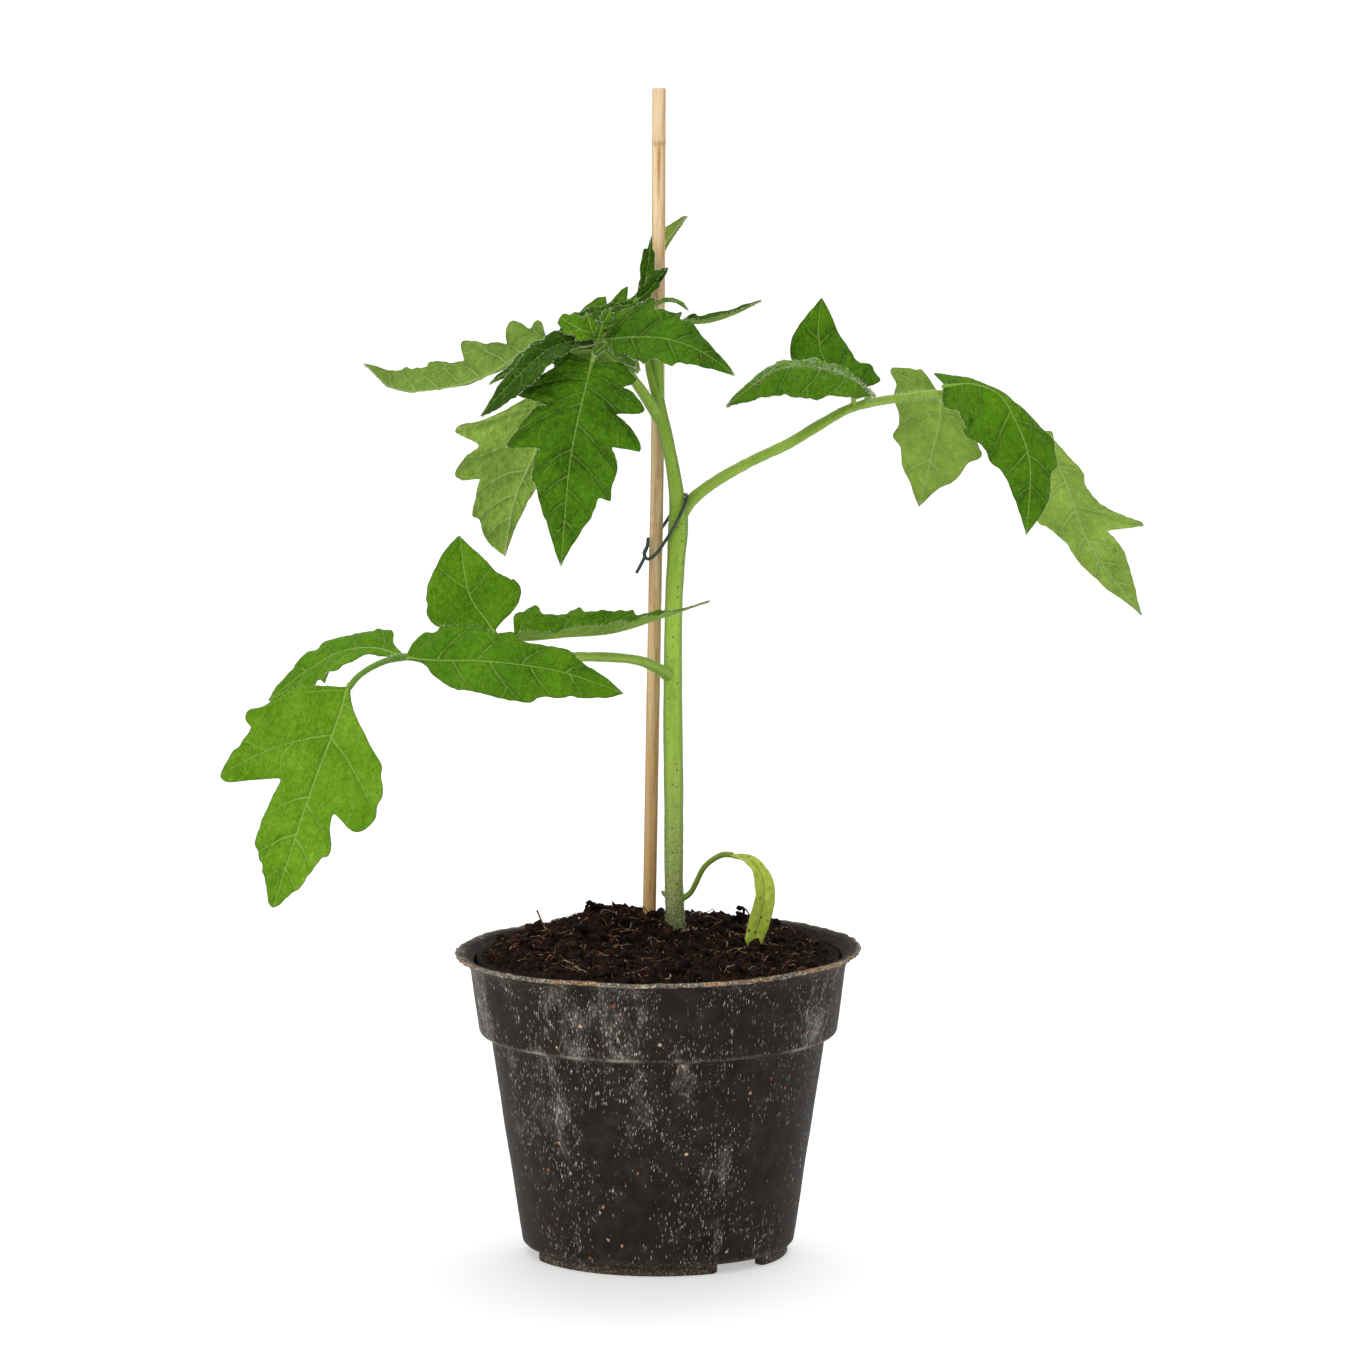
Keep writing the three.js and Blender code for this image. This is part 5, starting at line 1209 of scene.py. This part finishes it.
class Level:
    """An output socket of a material. Sums on it add Math nodes."""

    def __init__(self, recipe, socket):
        self.recipe = recipe
        self.socket = socket

    def sum(self, operation, *values):
        """A Math node on the values."""
        sockets = dict(enumerate(values))
        return self.recipe.node("ShaderNodeMath", {"operation": operation}, sockets)

    def worked(operation, turned=False):
        """A method that does this sum on the socket, or on the other value first when turned."""
        def method(self, *other):
            return self.sum(operation, *((*other, self) if turned else (self, *other)))
        return method

    __add__ = __radd__ = worked("ADD")
    __mul__ = __rmul__ = worked("MULTIPLY")
    __sub__, __rsub__ = worked("SUBTRACT"), worked("SUBTRACT", turned=True)
    __truediv__, __pow__ = worked("DIVIDE"), worked("POWER")
    most, size, part = worked("MAXIMUM"), worked("ABSOLUTE"), worked("FRACT")
    least = worked("MINIMUM")

    def rise(self, low, high):
        """0 up to low and 1 from high on, smooth between. With low above high it falls instead."""
        first, last = (0, 1) if low < high else (1, 0)
        return self.recipe.node(
            "ShaderNodeMapRange", {"interpolation_type": "SMOOTHSTEP"},
            {"Value": self, "From Min": min(low, high), "From Max": max(low, high),
             "To Min": first, "To Max": last})


class Recipe:
    """A material and the nodes that it is made of."""

    def __init__(self, name):
        self.material = bpy.data.materials.new(name)
        self.material.use_nodes = True
        self.tree = self.material.node_tree
        self.tree.nodes.clear()
        self.place = self.node("ShaderNodeTexCoord", out="Object")

    def node(self, kind, settings=None, sockets=None, out=0):
        """Adds a node with its settings, then its sockets' values or links. Gives one output."""
        made = self.tree.nodes.new(kind)
        for key, value in (settings or {}).items():
            if key == "stops":
                self.stops(made.color_ramp.elements, value)
            else:
                setattr(made, key, value)
        for key, value in (sockets or {}).items():
            if isinstance(value, Level):
                self.tree.links.new(value.socket, made.inputs[key])
            else:
                made.inputs[key].default_value = value
        return Level(self, made.outputs[out]) if made.outputs else None

    def stops(self, scale, stops):
        """Puts (position, #RRGGBB) stops on a ramp's scale."""
        for _ in stops[2:]:
            scale.new(0.5)
        for element, (position, code) in zip(scale, stops):
            element.position, element.color = position, ink(code)

    def ramp(self, factor, *stops):
        """The colour that the factor reaches on a scale of (position, #RRGGBB) stops."""
        return self.node("ShaderNodeValToRGB", {"stops": stops}, {0: factor})

    def mix(self, factor, a, b):
        """Colour a where the factor is 0 and b where it is 1."""
        return self.node("ShaderNodeMix", {"data_type": "RGBA"}, {0: factor, 6: a, 7: b}, out=2)

    def coats(self, colour, *layers):
        """The colour under layers of (mask, #RRGGBB), each laid over those before it."""
        for mask, code in layers:
            colour = self.mix(mask, colour, ink(code))
        return colour

    def parts(self, vector):
        """x, y and z of a vector."""
        split = self.node("ShaderNodeSeparateXYZ", None, {0: vector}).socket.node
        return [Level(self, socket) for socket in split.outputs]

    def attribute(self, name):
        """The three numbers that each point of a piece carries under this name."""
        return self.parts(self.node("ShaderNodeAttribute", {"attribute_name": name}, out="Vector"))

    def height(self):
        """Millimetres above the floor."""
        return self.parts(self.place)[2] / MM

    def stretched(self, *scale):
        """Object coordinates times a scale for each direction, in cells a millimetre."""
        scale = [s / MM for s in scale]
        return self.node("ShaderNodeMapping", None, {"Vector": self.place, "Scale": scale})

    def wander(self, at, by, reach):
        """Coordinates pushed about by a noise, so that a pattern on them doesn't run straight."""
        push = {0: (by - 0.5) * reach, 1: (0.5 - by) * reach}
        by = self.node("ShaderNodeCombineXYZ", None, push)
        return self.node("ShaderNodeVectorMath", {"operation": "ADD"}, {0: at, 1: by})

    def noise(self, millimetres, detail=2.0, rough=0.5, at=None, warp=0.0):
        """Noise with spots of this size, or of this many cells of the stretched coordinates."""
        scale = 1 / millimetres if at else 1 / (millimetres * MM)
        return self.node("ShaderNodeTexNoise", None,
                         {"Vector": at or self.place, "Scale": scale, "Detail": detail,
                          "Roughness": rough, "Distortion": warp})

    def cells(self, at, scale=1.0, feature="F1", out=0):
        """The distance to the nearest cell's middle, or with out=1 that cell's random colour."""
        return self.node("ShaderNodeTexVoronoi", {"feature": feature},
                         {"Vector": at, "Scale": scale, "Randomness": 1.0}, out=out)

    def dots(self, near, chance, at=None, scale=1.0, pick=0):
        """A dot in the middle of some cells: near gives its edges and chance how rare it is."""
        at = at or self.place
        kept = self.parts(self.cells(at, scale, out=1))[pick]
        return self.cells(at, scale).rise(*near) * kept.rise(*chance)

    def shade(self, colour, rough, shine, relief=None, **sockets):
        """The surface. The relief gives a height, its size in millimetres and its strength. Other
        Principled sockets are named with _ for a blank."""
        sockets = {key.replace("_", " "): value for key, value in sockets.items()}
        if relief:
            height, millimetres, strength = relief
            sockets["Normal"] = self.node("ShaderNodeBump", None, {
                "Height": height, "Distance": millimetres * MM, "Strength": strength})
        surface = self.node("ShaderNodeBsdfPrincipled", None, {
            "Base Color": colour, "Roughness": rough, "Specular IOR Level": shine, **sockets})
        self.node("ShaderNodeOutputMaterial", None, {"Surface": surface})
        return self.material


def leaf_veins(r, side_width, midrib_width):
    """Masks read from the blade's own numbers: midrib, side veins, the finer ones that leave the
    side veins at a slant, the swelling between side veins, the finest net, and the margin."""
    rank, out, from_edge = r.attribute("vein")
    share, tone, spacing = r.attribute("lay")
    midrib = (out - 0.2 * (1 - share)).rise(midrib_width, 0.04)
    waver = (r.noise(3.5, 2) - 0.5) * from_edge.rise(0, 3) * 0.5
    phase = rank.part()
    swell = ((rank + 0.5).part() - 0.5).size()
    from_vein = (swell * spacing + waver).size()
    reach = out / (out + from_edge + 0.1)
    wide = side_width * (1.25 - 0.6 * reach)
    side = (1 - from_vein / wide).rise(0.05, 0.75) * (0.45 + 0.55 * from_edge.rise(0, 3))
    front = ((phase - reach.rise(0.4, 1) * 0.55) * spacing + waver * 1.6).size()
    back = ((1 - phase - reach.rise(0.62, 1.1) * 0.5) * spacing - waver * 1.6).size()
    forks = ((1 - front / wide).rise(0.1, 0.9) * reach.rise(0.42, 0.5)).most(
        (1 - back / wide).rise(0.1, 0.9) * reach.rise(0.64, 0.7))
    side = side.most(forks * 0.6)
    slant = (out * 1.2 - from_vein * 0.95) / 3.4 + r.noise(5) * 1.3
    slant = ((slant.part() - 0.5).size() * 3.4).rise(0.2, 0.03) * from_vein.rise(3.4, 0.2)
    net = r.cells(r.place, 620, "DISTANCE_TO_EDGE")
    rim = from_edge.rise(0.38, 0.12)
    return midrib, side, slant, swell, net, rim, tone, from_vein, from_edge


def leaf_upper():
    """Green blade tops: pale sunken veins, a quilted net between them and a thin dark margin.
    Painted shade darkens the blade beside the side veins and along the net's lines.
    """
    r = Recipe("leaf_upper_side")
    midrib, side, slant, swell, net, rim, tone, from_vein, from_edge = leaf_veins(r, 0.38, 0.26)
    mottle = r.noise(1.7, 4, 0.65)
    cloud = r.noise(15, 2)
    # Painted shade: darker beside the side veins and along the net's lines, more on dark leaflets,
    # and thin dark creases along the veins.
    painted_vein_shade = (swell.rise(0.2, 0.02) + net.rise(0.16, 0.02) * 0.4) * (1.1 - tone)
    painted_crease_shade = from_vein.rise(1, 0.3) * from_edge.rise(0.5, 2.5)
    painted_crease_shade = painted_crease_shade * (1 - tone) * mottle.rise(0.35, 0.6)
    level = tone + (cloud - 0.5) * 0.6 + (mottle - 0.5) * 0.7 - painted_vein_shade * 0.15 - painted_crease_shade * 0.14
    green = r.ramp(level, (0, "#2B4B06"), (0.25, "#437009"), (0.5, "#57860E"), (0.72, "#6C991D"),
                   (1, "#96BE36"))
    pale = r.mix(tone, ink("#7DAA34"), ink("#B4D270"))
    lines = (midrib * (tone * 1.3 + 0.5).least(0.95)).most(side * (0.32 + 0.52 * tone))
    lines = lines.most(slant * 0.25)
    colour = r.coats(r.mix(lines * 0.66, green, pale), (rim * 0.75, "#33460F"))
    height = net.rise(0, 0.34) * 0.8 - lines * 0.7 + r.noise(0.7, 2) * 0.35
    return r.shade(colour, 0.4 + mottle * 0.22 + lines * 0.1, 0.07, (height, 0.3, 1.0))


def leaf_under():
    """Paler undersides with raised veins, and painted shade beside the side veins."""
    r = Recipe("leaf_underside")
    midrib, side, slant, swell, net, rim, tone, *_ = leaf_veins(r, 0.5, 0.42)
    mottle = r.noise(2.2, 4, 0.65)
    level = 0.25 + tone * 0.5 + (r.noise(14, 2) - 0.5) * 0.9 + (mottle - 0.5) * 0.8
    # Painted shade: darker beside the side veins.
    level = level - swell.rise(0.2, 0.03) * 0.15
    green = r.ramp(level, (0, "#5B7A2C"), (0.4, "#76963C"), (0.7, "#8BAC44"), (1, "#A7C65A"))
    lines = (midrib * 0.85).most(side * 0.75).most(slant * 0.5).most(net.rise(0.1, 0.01) * 0.25)
    colour = r.coats(green, (lines * 0.5, "#B2CA74"), (rim * 0.6, "#566622"))
    height = lines - net.rise(0, 0.3) * 0.3 + r.noise(0.6, 2) * 0.4
    return r.shade(colour, 0.55 + mottle * 0.2, 0.07, (height, 0.35, 1.0))


def stalk_green():
    """Streaked green, darker where the leaf's stalk starts. Painted shade darkens it where it
    looks down and on the shaded outer part that the tone marks; on a neck the tone is the
    leaflet's own.
    """
    r = Recipe("leaf_stalk_green")
    share, tone, turn = r.attribute("lay")
    streak = r.noise(1.2, 3, 0.6)
    dots = r.cells(r.place, 900).rise(0.22, 0.1)
    # Painted shade: the turn mask darkens where the stalk looks down, and a tone below one on a
    # stalk's outer part is painted shade.
    colour = r.coats(
        r.ramp(r.noise(11, 2) * 0.6 + streak * 0.4,
               (0.25, "#74962C"), (0.5, "#90B23E"), (0.75, "#A8C654")),
        (share.rise(0.1, 0) * 0.3, "#6C8A3C"), (turn.rise(-0.2, -0.9) * 0.45, "#567428"),
        ((1 - tone) * 0.7, "#4C7A1C"), (dots * 0.35, "#4F6A2A"))
    return r.shade(colour, 0.42 + streak * 0.15, 0.2, (streak + dots * 0.5, 0.12, 0.8))


def stem_green():
    """Green that turns brown and specked near the compost, streaked and dotted, and darker at the
    stem's left and right sides: painted shade."""
    r = Recipe("main_stem_green")
    z = r.height()
    across = r.attribute("lay")[2]
    streak = r.noise(1, 3, 0.6, at=r.stretched(1.1, 1.1, 0.1))
    cloud = r.noise(1.8, 4, 0.65)
    foot = z.rise(150, 92)
    speck = r.noise(0.7, 4, 0.75)
    dots = r.dots((0.3, 0.16), (0.72, 0.78), scale=700)
    colour = r.coats(
        r.ramp((z + r.noise(7, 2) * 14 - 7) / 300,
               (0.31, "#57523A"), (0.338, "#82835A"), (0.37, "#A3AE62"), (0.42, "#A0B856"),
               (0.5, "#A2C448"), (0.62, "#A6CC48"), (0.74, "#90B43A"), (0.86, "#7FA334")),
        (streak.rise(0.5, 0.75) * 0.3, "#B9D67C"), (streak.rise(0.5, 0.3) * 0.35, "#6E9230"),
        (cloud.rise(0.52, 0.36) * 0.3, "#7C9C3A"),
        # Painted shade: darker where the stem looks left or right.
        (across.size().rise(0.5, 0.97) * (0.4 + cloud * 0.5), "#55722A"),
        (foot * speck.rise(0.5, 0.62) * 0.6, "#BCC684"),
        (foot * speck.rise(0.47, 0.37) * 0.85, "#4A4A2C"), (dots * 0.7, "#46502A"))
    return r.shade(colour, 0.42 + streak * 0.12, 0.2, (streak + dots * 0.6, 0.12, 0.8))


def seed_leaf_skin():
    """Yellow-green with brown specks, a dark midrib and a dry margin."""
    r = Recipe("seed_leaf_skin")
    out, from_edge = r.attribute("vein")[1:]
    tone = r.attribute("lay")[1]
    mottle = r.noise(1.6, 4, 0.6)
    dots = r.dots((0.3, 0.14), (0.55, 0.65), scale=520)
    colour = r.coats(
        r.ramp(mottle, (0.3, "#87A030"), (0.5, "#A3B63C"), (0.7, "#BCC656")),
        (tone.rise(0.7, 0.9) * 0.75, "#66832F"), (out.rise(0.3, 0.08) * 0.6, "#5F6A22"),
        (dots * 0.8, "#3D3F1C"), (from_edge.rise(0.35, 0.05) * 0.4, "#8A7E3A"))
    return r.shade(colour, 0.45 + mottle * 0.15, 0.2, (mottle + dots, 0.15, 0.7))


def bamboo():
    """Tan lengthwise fibre, browner near the compost, with a node ring, and painted shade on its
    right side, heavier near the compost, and along its left edge.
    """
    r = Recipe("split_bamboo")
    z = r.height()
    across = r.attribute("lay")[2]
    fibre, broad = (r.noise(width, detail, rough, at=r.stretched(1.0, 1.0, 0.02))
                    for width, detail, rough in ((0.35, 4, 0.65), (1.2, 3, 0.6)))
    low = z.rise(225, 95) * 0.65
    colour = r.coats(
        r.ramp(fibre * 0.35 + broad * 0.65,
               (0.34, "#AD804E"), (0.44, "#D0A979"), (0.55, "#E4C99F"), (0.7, "#EFDABB")),
        (low * broad.rise(0.3, 0.55), "#CF994F"),
        # Painted shade: the right side darker, more so near the compost, and the left edge.
        (across.rise(0.4, 0.9) * (0.18 + low * 0.85), "#7A4B22"),
        (across.rise(-0.75, -1) * 0.35, "#8A6038"),
        (r.noise(9, 4, 0.6).rise(0.56, 0.72) * 0.5, "#A97B50"),
        ((z - NODE_RING).size().rise(1.1, 0.3) * 0.45, "#A77A4C"))
    return r.shade(colour, 0.5 + fibre * 0.2, 0.25, (fibre, 0.12, 0.8))


def coated_wire():
    """Scuffed dark green coating."""
    r = Recipe("green_coated_wire")
    scuff = r.noise(1.3, 4, 0.6)
    colour = r.ramp(scuff, (0.3, "#12261A"), (0.55, "#1F3D27"), (0.75, "#35573B"))
    return r.shade(colour, 0.28 + scuff * 0.2, 0.5, (scuff, 0.06, 0.5),
                   Coat_Weight=0.2, Coat_Roughness=0.2)


def plant_hair():
    """Whitish green."""
    r = Recipe("plant_hair")
    return r.shade(r.ramp(r.noise(6, 1), (0.35, "#C9D6A4"), (0.65, "#E8EDD6")), 0.4, 0.5)


# The pot's pale fibres, longest first: width and height in millimetres of the cells that may hold
# one each, how rare they are, and how thick against the cell's width.
FLECKS = [(1.3, 7.5, 0.62, 0.21), (0.9, 4.4, 0.46, 0.24), (0.6, 3, 0.36, 0.3),
          (0.42, 1.8, 0.46, 0.34)]


def flecked_pot():
    """Dark pressed fibre: short upright flecks of pale fibre of four sizes and a dusty haze, both
    denser in patches, a few chips, a rubbed line below the collar, compost smeared up the inner
    wall, and a worn tan edge along the lip and at the foot."""
    r = Recipe("flecked_pot")
    x, y, _ = r.parts(r.place)
    z = r.height()
    patch = r.noise(1, 4, 0.65, at=r.stretched(1 / 15, 1 / 15, 1 / 30))
    patch = patch - z.rise(62, 12) * 0.1 - 0.015
    cloud = r.noise(5, 4, 0.65)
    drift = r.noise(2.2, 2, 0.5)
    layers = []
    for cell, tall, least, thick in FLECKS:
        at = r.wander(r.stretched(1 / cell, 1 / cell, 1 / tall), drift, 1.2)
        crowd = r.parts(r.cells(at, out=1))[0] + (patch - 0.52) * 2.6
        layers.append(r.cells(at).rise(thick, thick * 0.45) * crowd.rise(least, least + 0.22))
    flecks = layers[0]
    for layer in layers[1:]:
        flecks = flecks.most(layer * 0.85)
    flecks = flecks * (r.noise(0.8, 2, 0.6).rise(0.3, 0.6) * 0.7 + 0.3)
    body = r.ramp(cloud, (0.3, "#1A1613"), (0.5, "#26201C"), (0.72, "#352C27"))
    pale = r.ramp(r.noise(1.7, 2), (0.3, "#8A7458"), (0.5, "#B0A797"), (0.68, "#E4E0D8"))
    colour = r.mix(flecks * 0.95, body, pale)

    mist = r.noise(1, 5, 0.85, at=r.stretched(1.4, 1.4, 0.6)).rise(0.44, 0.68)
    haze = patch.rise(0.5, 0.7) * (mist * 0.9 + 0.1) * (0.5 + z.rise(30, 75) * 0.25)
    colour = r.coats(colour, (haze, "#C6C1B8"))
    at = r.wander(r.stretched(1 / 4.8, 1 / 4.8, 1 / 5.6), r.noise(1.1, 2, 0.5), 0.3)
    chips = r.dots((0.13, 0.07), (0.66, 0.7), at, pick=1)
    chip = r.ramp(r.noise(4, 1), (0.42, "#8A4A38"), (0.5, "#B88A64"), (0.6, "#D6BE98"))
    colour = r.mix(chips * 0.85, colour, chip)

    hem = (z - COLLAR_BOTTOM + 0.6 * r.noise(2, 2)).size().rise(0.9, 0.2)
    hem = hem * mist.most(patch.rise(0.45, 0.6))
    hem = hem * (r.noise(20, 3, 0.6).rise(0.42, 0.56) * 0.85 + 0.15)
    low = (z - 3 * r.noise(3, 4, 0.7)).rise(4, 0)
    worn = r.noise(0.7, 5, 0.75)
    colour = r.coats(colour, (hem * 0.55, "#A39A8C"), (low * 0.2, "#5F5346"),
                     (low * worn.rise(0.53, 0.62) * 0.5, "#A8957E"))

    across, ahead = x - POT_AXIS[0], y - POT_AXIS[1]
    radius = (across * across + ahead * ahead) ** 0.5 / MM
    limit = radius - (z - 88).most(0) * 1.35 + 1.4 * (r.noise(3, 3, 0.6) - 0.5)
    smear = limit.rise(COLLAR_TOP_RADIUS, COLLAR_TOP_RADIUS - 0.8) * z.rise(84, 86)
    earth = r.ramp(r.noise(1.4, 5, 0.7), (0.36, "#070504"), (0.5, "#140D0A"), (0.6, "#291C14"),
                   (0.7, "#5E4A37"))
    colour = r.mix(smear * 0.92, colour, earth)
    brink = (radius + 2.6 * (worn - 0.5)).rise(58.4, 60) * z.rise(86, 88)
    fringe = r.mix(r.noise(9, 3, 0.6).rise(0.5, 0.64), ink("#6A625A"), ink("#9A7246"))
    fringe = r.coats(fringe, (worn.rise(0.5, 0.62), "#CDBFA6"))
    colour = r.mix(brink * worn.rise(0.3, 0.5), colour, fringe)
    height = flecks * 0.4 + cloud * 0.3 + worn * 0.5 + brink * worn
    return r.shade(colour, 0.5 + cloud * 0.14 + flecks * 0.1, 0.08, (height, 0.2, 1.0))


def compost():
    """Dark crumbs with brown strands, as bright as the tone that each lump carries."""
    r = Recipe("compost")
    tone = r.attribute("lay")[1]
    grain = r.noise(0.9, 5, 0.7)
    strand = r.noise(0.6, 3, 0.6, at=r.stretched(1, 0.25, 0.6), warp=1.6)
    level = tone * 0.5 + (grain - 0.5) + (r.noise(4, 4, 0.65) - 0.5) * 0.8
    soil = r.ramp(level, (0, "#040202"), (0.22, "#0E0705"), (0.4, "#24130B"), (0.54, "#502D1B"),
                  (0.68, "#86603F"), (1, "#DCD2BE"))
    colour = r.coats(soil, (strand.rise(0.58, 0.7) * 0.55, "#6E4426"))
    return r.shade(colour, 0.85, 0.1, (grain * 0.8 + strand * 0.3, 0.5, 1.0))


def floor_paper():
    """White paper that also glows a little, as on a light table, so that shadows stay faint."""
    return Recipe("studio_floor").shade(
        PAPER, 0.9, 0.1, Emission_Color=WHITE, Emission_Strength=PAPER_GLOW)


# Studio. Places are in millimetres.
CAMERA = (7.4, -2600, 543.17)
CAMERA_DOWN = 8.1644  # degrees
LENS = 235.18  # millimetres
FILM = 36
FAR = 60  # metres
FLOOR_ENDS = (-14, 22)  # metres
PAPER = (0.93, 0.93, 0.93, 1)
PAPER_GLOW = 0.43
WHITE = (1, 1, 1, 1)
ROOM_LIGHT = 0.58
KEY_LIGHT = ((-850, -950, 1250), 1.5, 30)  # place, strength and width in degrees
REAR_LIGHT = ((100, 900, 1300), 1.0, 50)


def studio_floor():
    """A wide level sheet that reaches past the camera's view."""
    mesh = bpy.data.meshes.new("studio_floor")
    low, high = FLOOR_ENDS
    corners = [(low, low, 0), (high, low, 0), (high, high, 0), (low, high, 0)]
    mesh.from_pydata(corners, [], [(0, 1, 2, 3)])
    mesh.materials.append(FLOOR)
    floor = put("studio_floor", mesh)
    return floor


def skylight(name, place, power, width):
    """Even light from one side: a sun so wide, in degrees, that its shadows are soft."""
    lamp = bpy.data.lights.new(name, "SUN")
    lamp.energy = power
    lamp.angle = np.radians(width)
    light = put(name, lamp)
    light.location = Vector(place) * MM
    light.rotation_euler = (-Vector(place)).to_track_quat("-Z", "Y").to_euler()
    return light


def studio_light(floor):
    """A white room, a wide light from the upper front left that passes the floor by, as its shadow
    would fall across the white, and a second one from the upper back."""
    world = bpy.data.worlds.new("studio")
    world.use_nodes = True
    background = world.node_tree.nodes["Background"]
    background.inputs["Color"].default_value = WHITE
    background.inputs["Strength"].default_value = ROOM_LIGHT
    bpy.context.scene.world = world
    key = skylight("key_light", *KEY_LIGHT)
    passed_by = bpy.data.collections.new("passed_by")
    passed_by.objects.link(floor)
    key.light_linking.receiver_collection = passed_by
    passed_by.collection_objects[0].light_linking.link_state = "EXCLUDE"
    skylight("rear_light", *REAR_LIGHT)
    bpy.context.scene.view_settings.view_transform = "Standard"


def photo_camera():
    """The camera that took the view: a long lens that looks a little down at the plant."""
    lens = bpy.data.cameras.new("photo_camera")
    lens.lens = LENS
    lens.sensor_width = FILM
    lens.clip_end = FAR
    camera = put("photo_camera", lens)
    camera.location = Vector(CAMERA) * MM + Vector(POT_AXIS)
    camera.rotation_euler = (np.radians(90 - CAMERA_DOWN), 0, 0)
    bpy.context.scene.camera = camera


LEAF_UPPER = leaf_upper()
LEAF_UNDER = leaf_under()
STALK_GREEN = stalk_green()
STEM_GREEN = stem_green()
SEED_LEAF_SKIN = seed_leaf_skin()
BAMBOO = bamboo()
COATED_WIRE = coated_wire()
HAIR = plant_hair()
FLECKED_POT = flecked_pot()
COMPOST = compost()
FLOOR = floor_paper()

photo_camera()
studio_light(studio_floor())
nursery_pot()
foot_ring()
potting_soil()
green_stem()
split_stake()
wire_tie()
withered_seed_leaf()
compound("lower_left_leaf", LOWER_LEFT, "leaf_lower_left", "leaf", 61, puff=0.52, fuzz=0.8, gap=10)
compound("right_leaf", RIGHT, "leaf_right", "leaf", 67, puff=0.58, gap=8)
compound("upper_left_leaf", UPPER_LEFT, "leaf_upper_left", "leaf_dark", 71, puff=0.65, fuzz=1.7,
         gap=6.5)
compound("growing_tip", SHOOT_TIP, "shoot_tip", "leaf_dark", 79, puff=0.45, fuzz=2, gap=5)
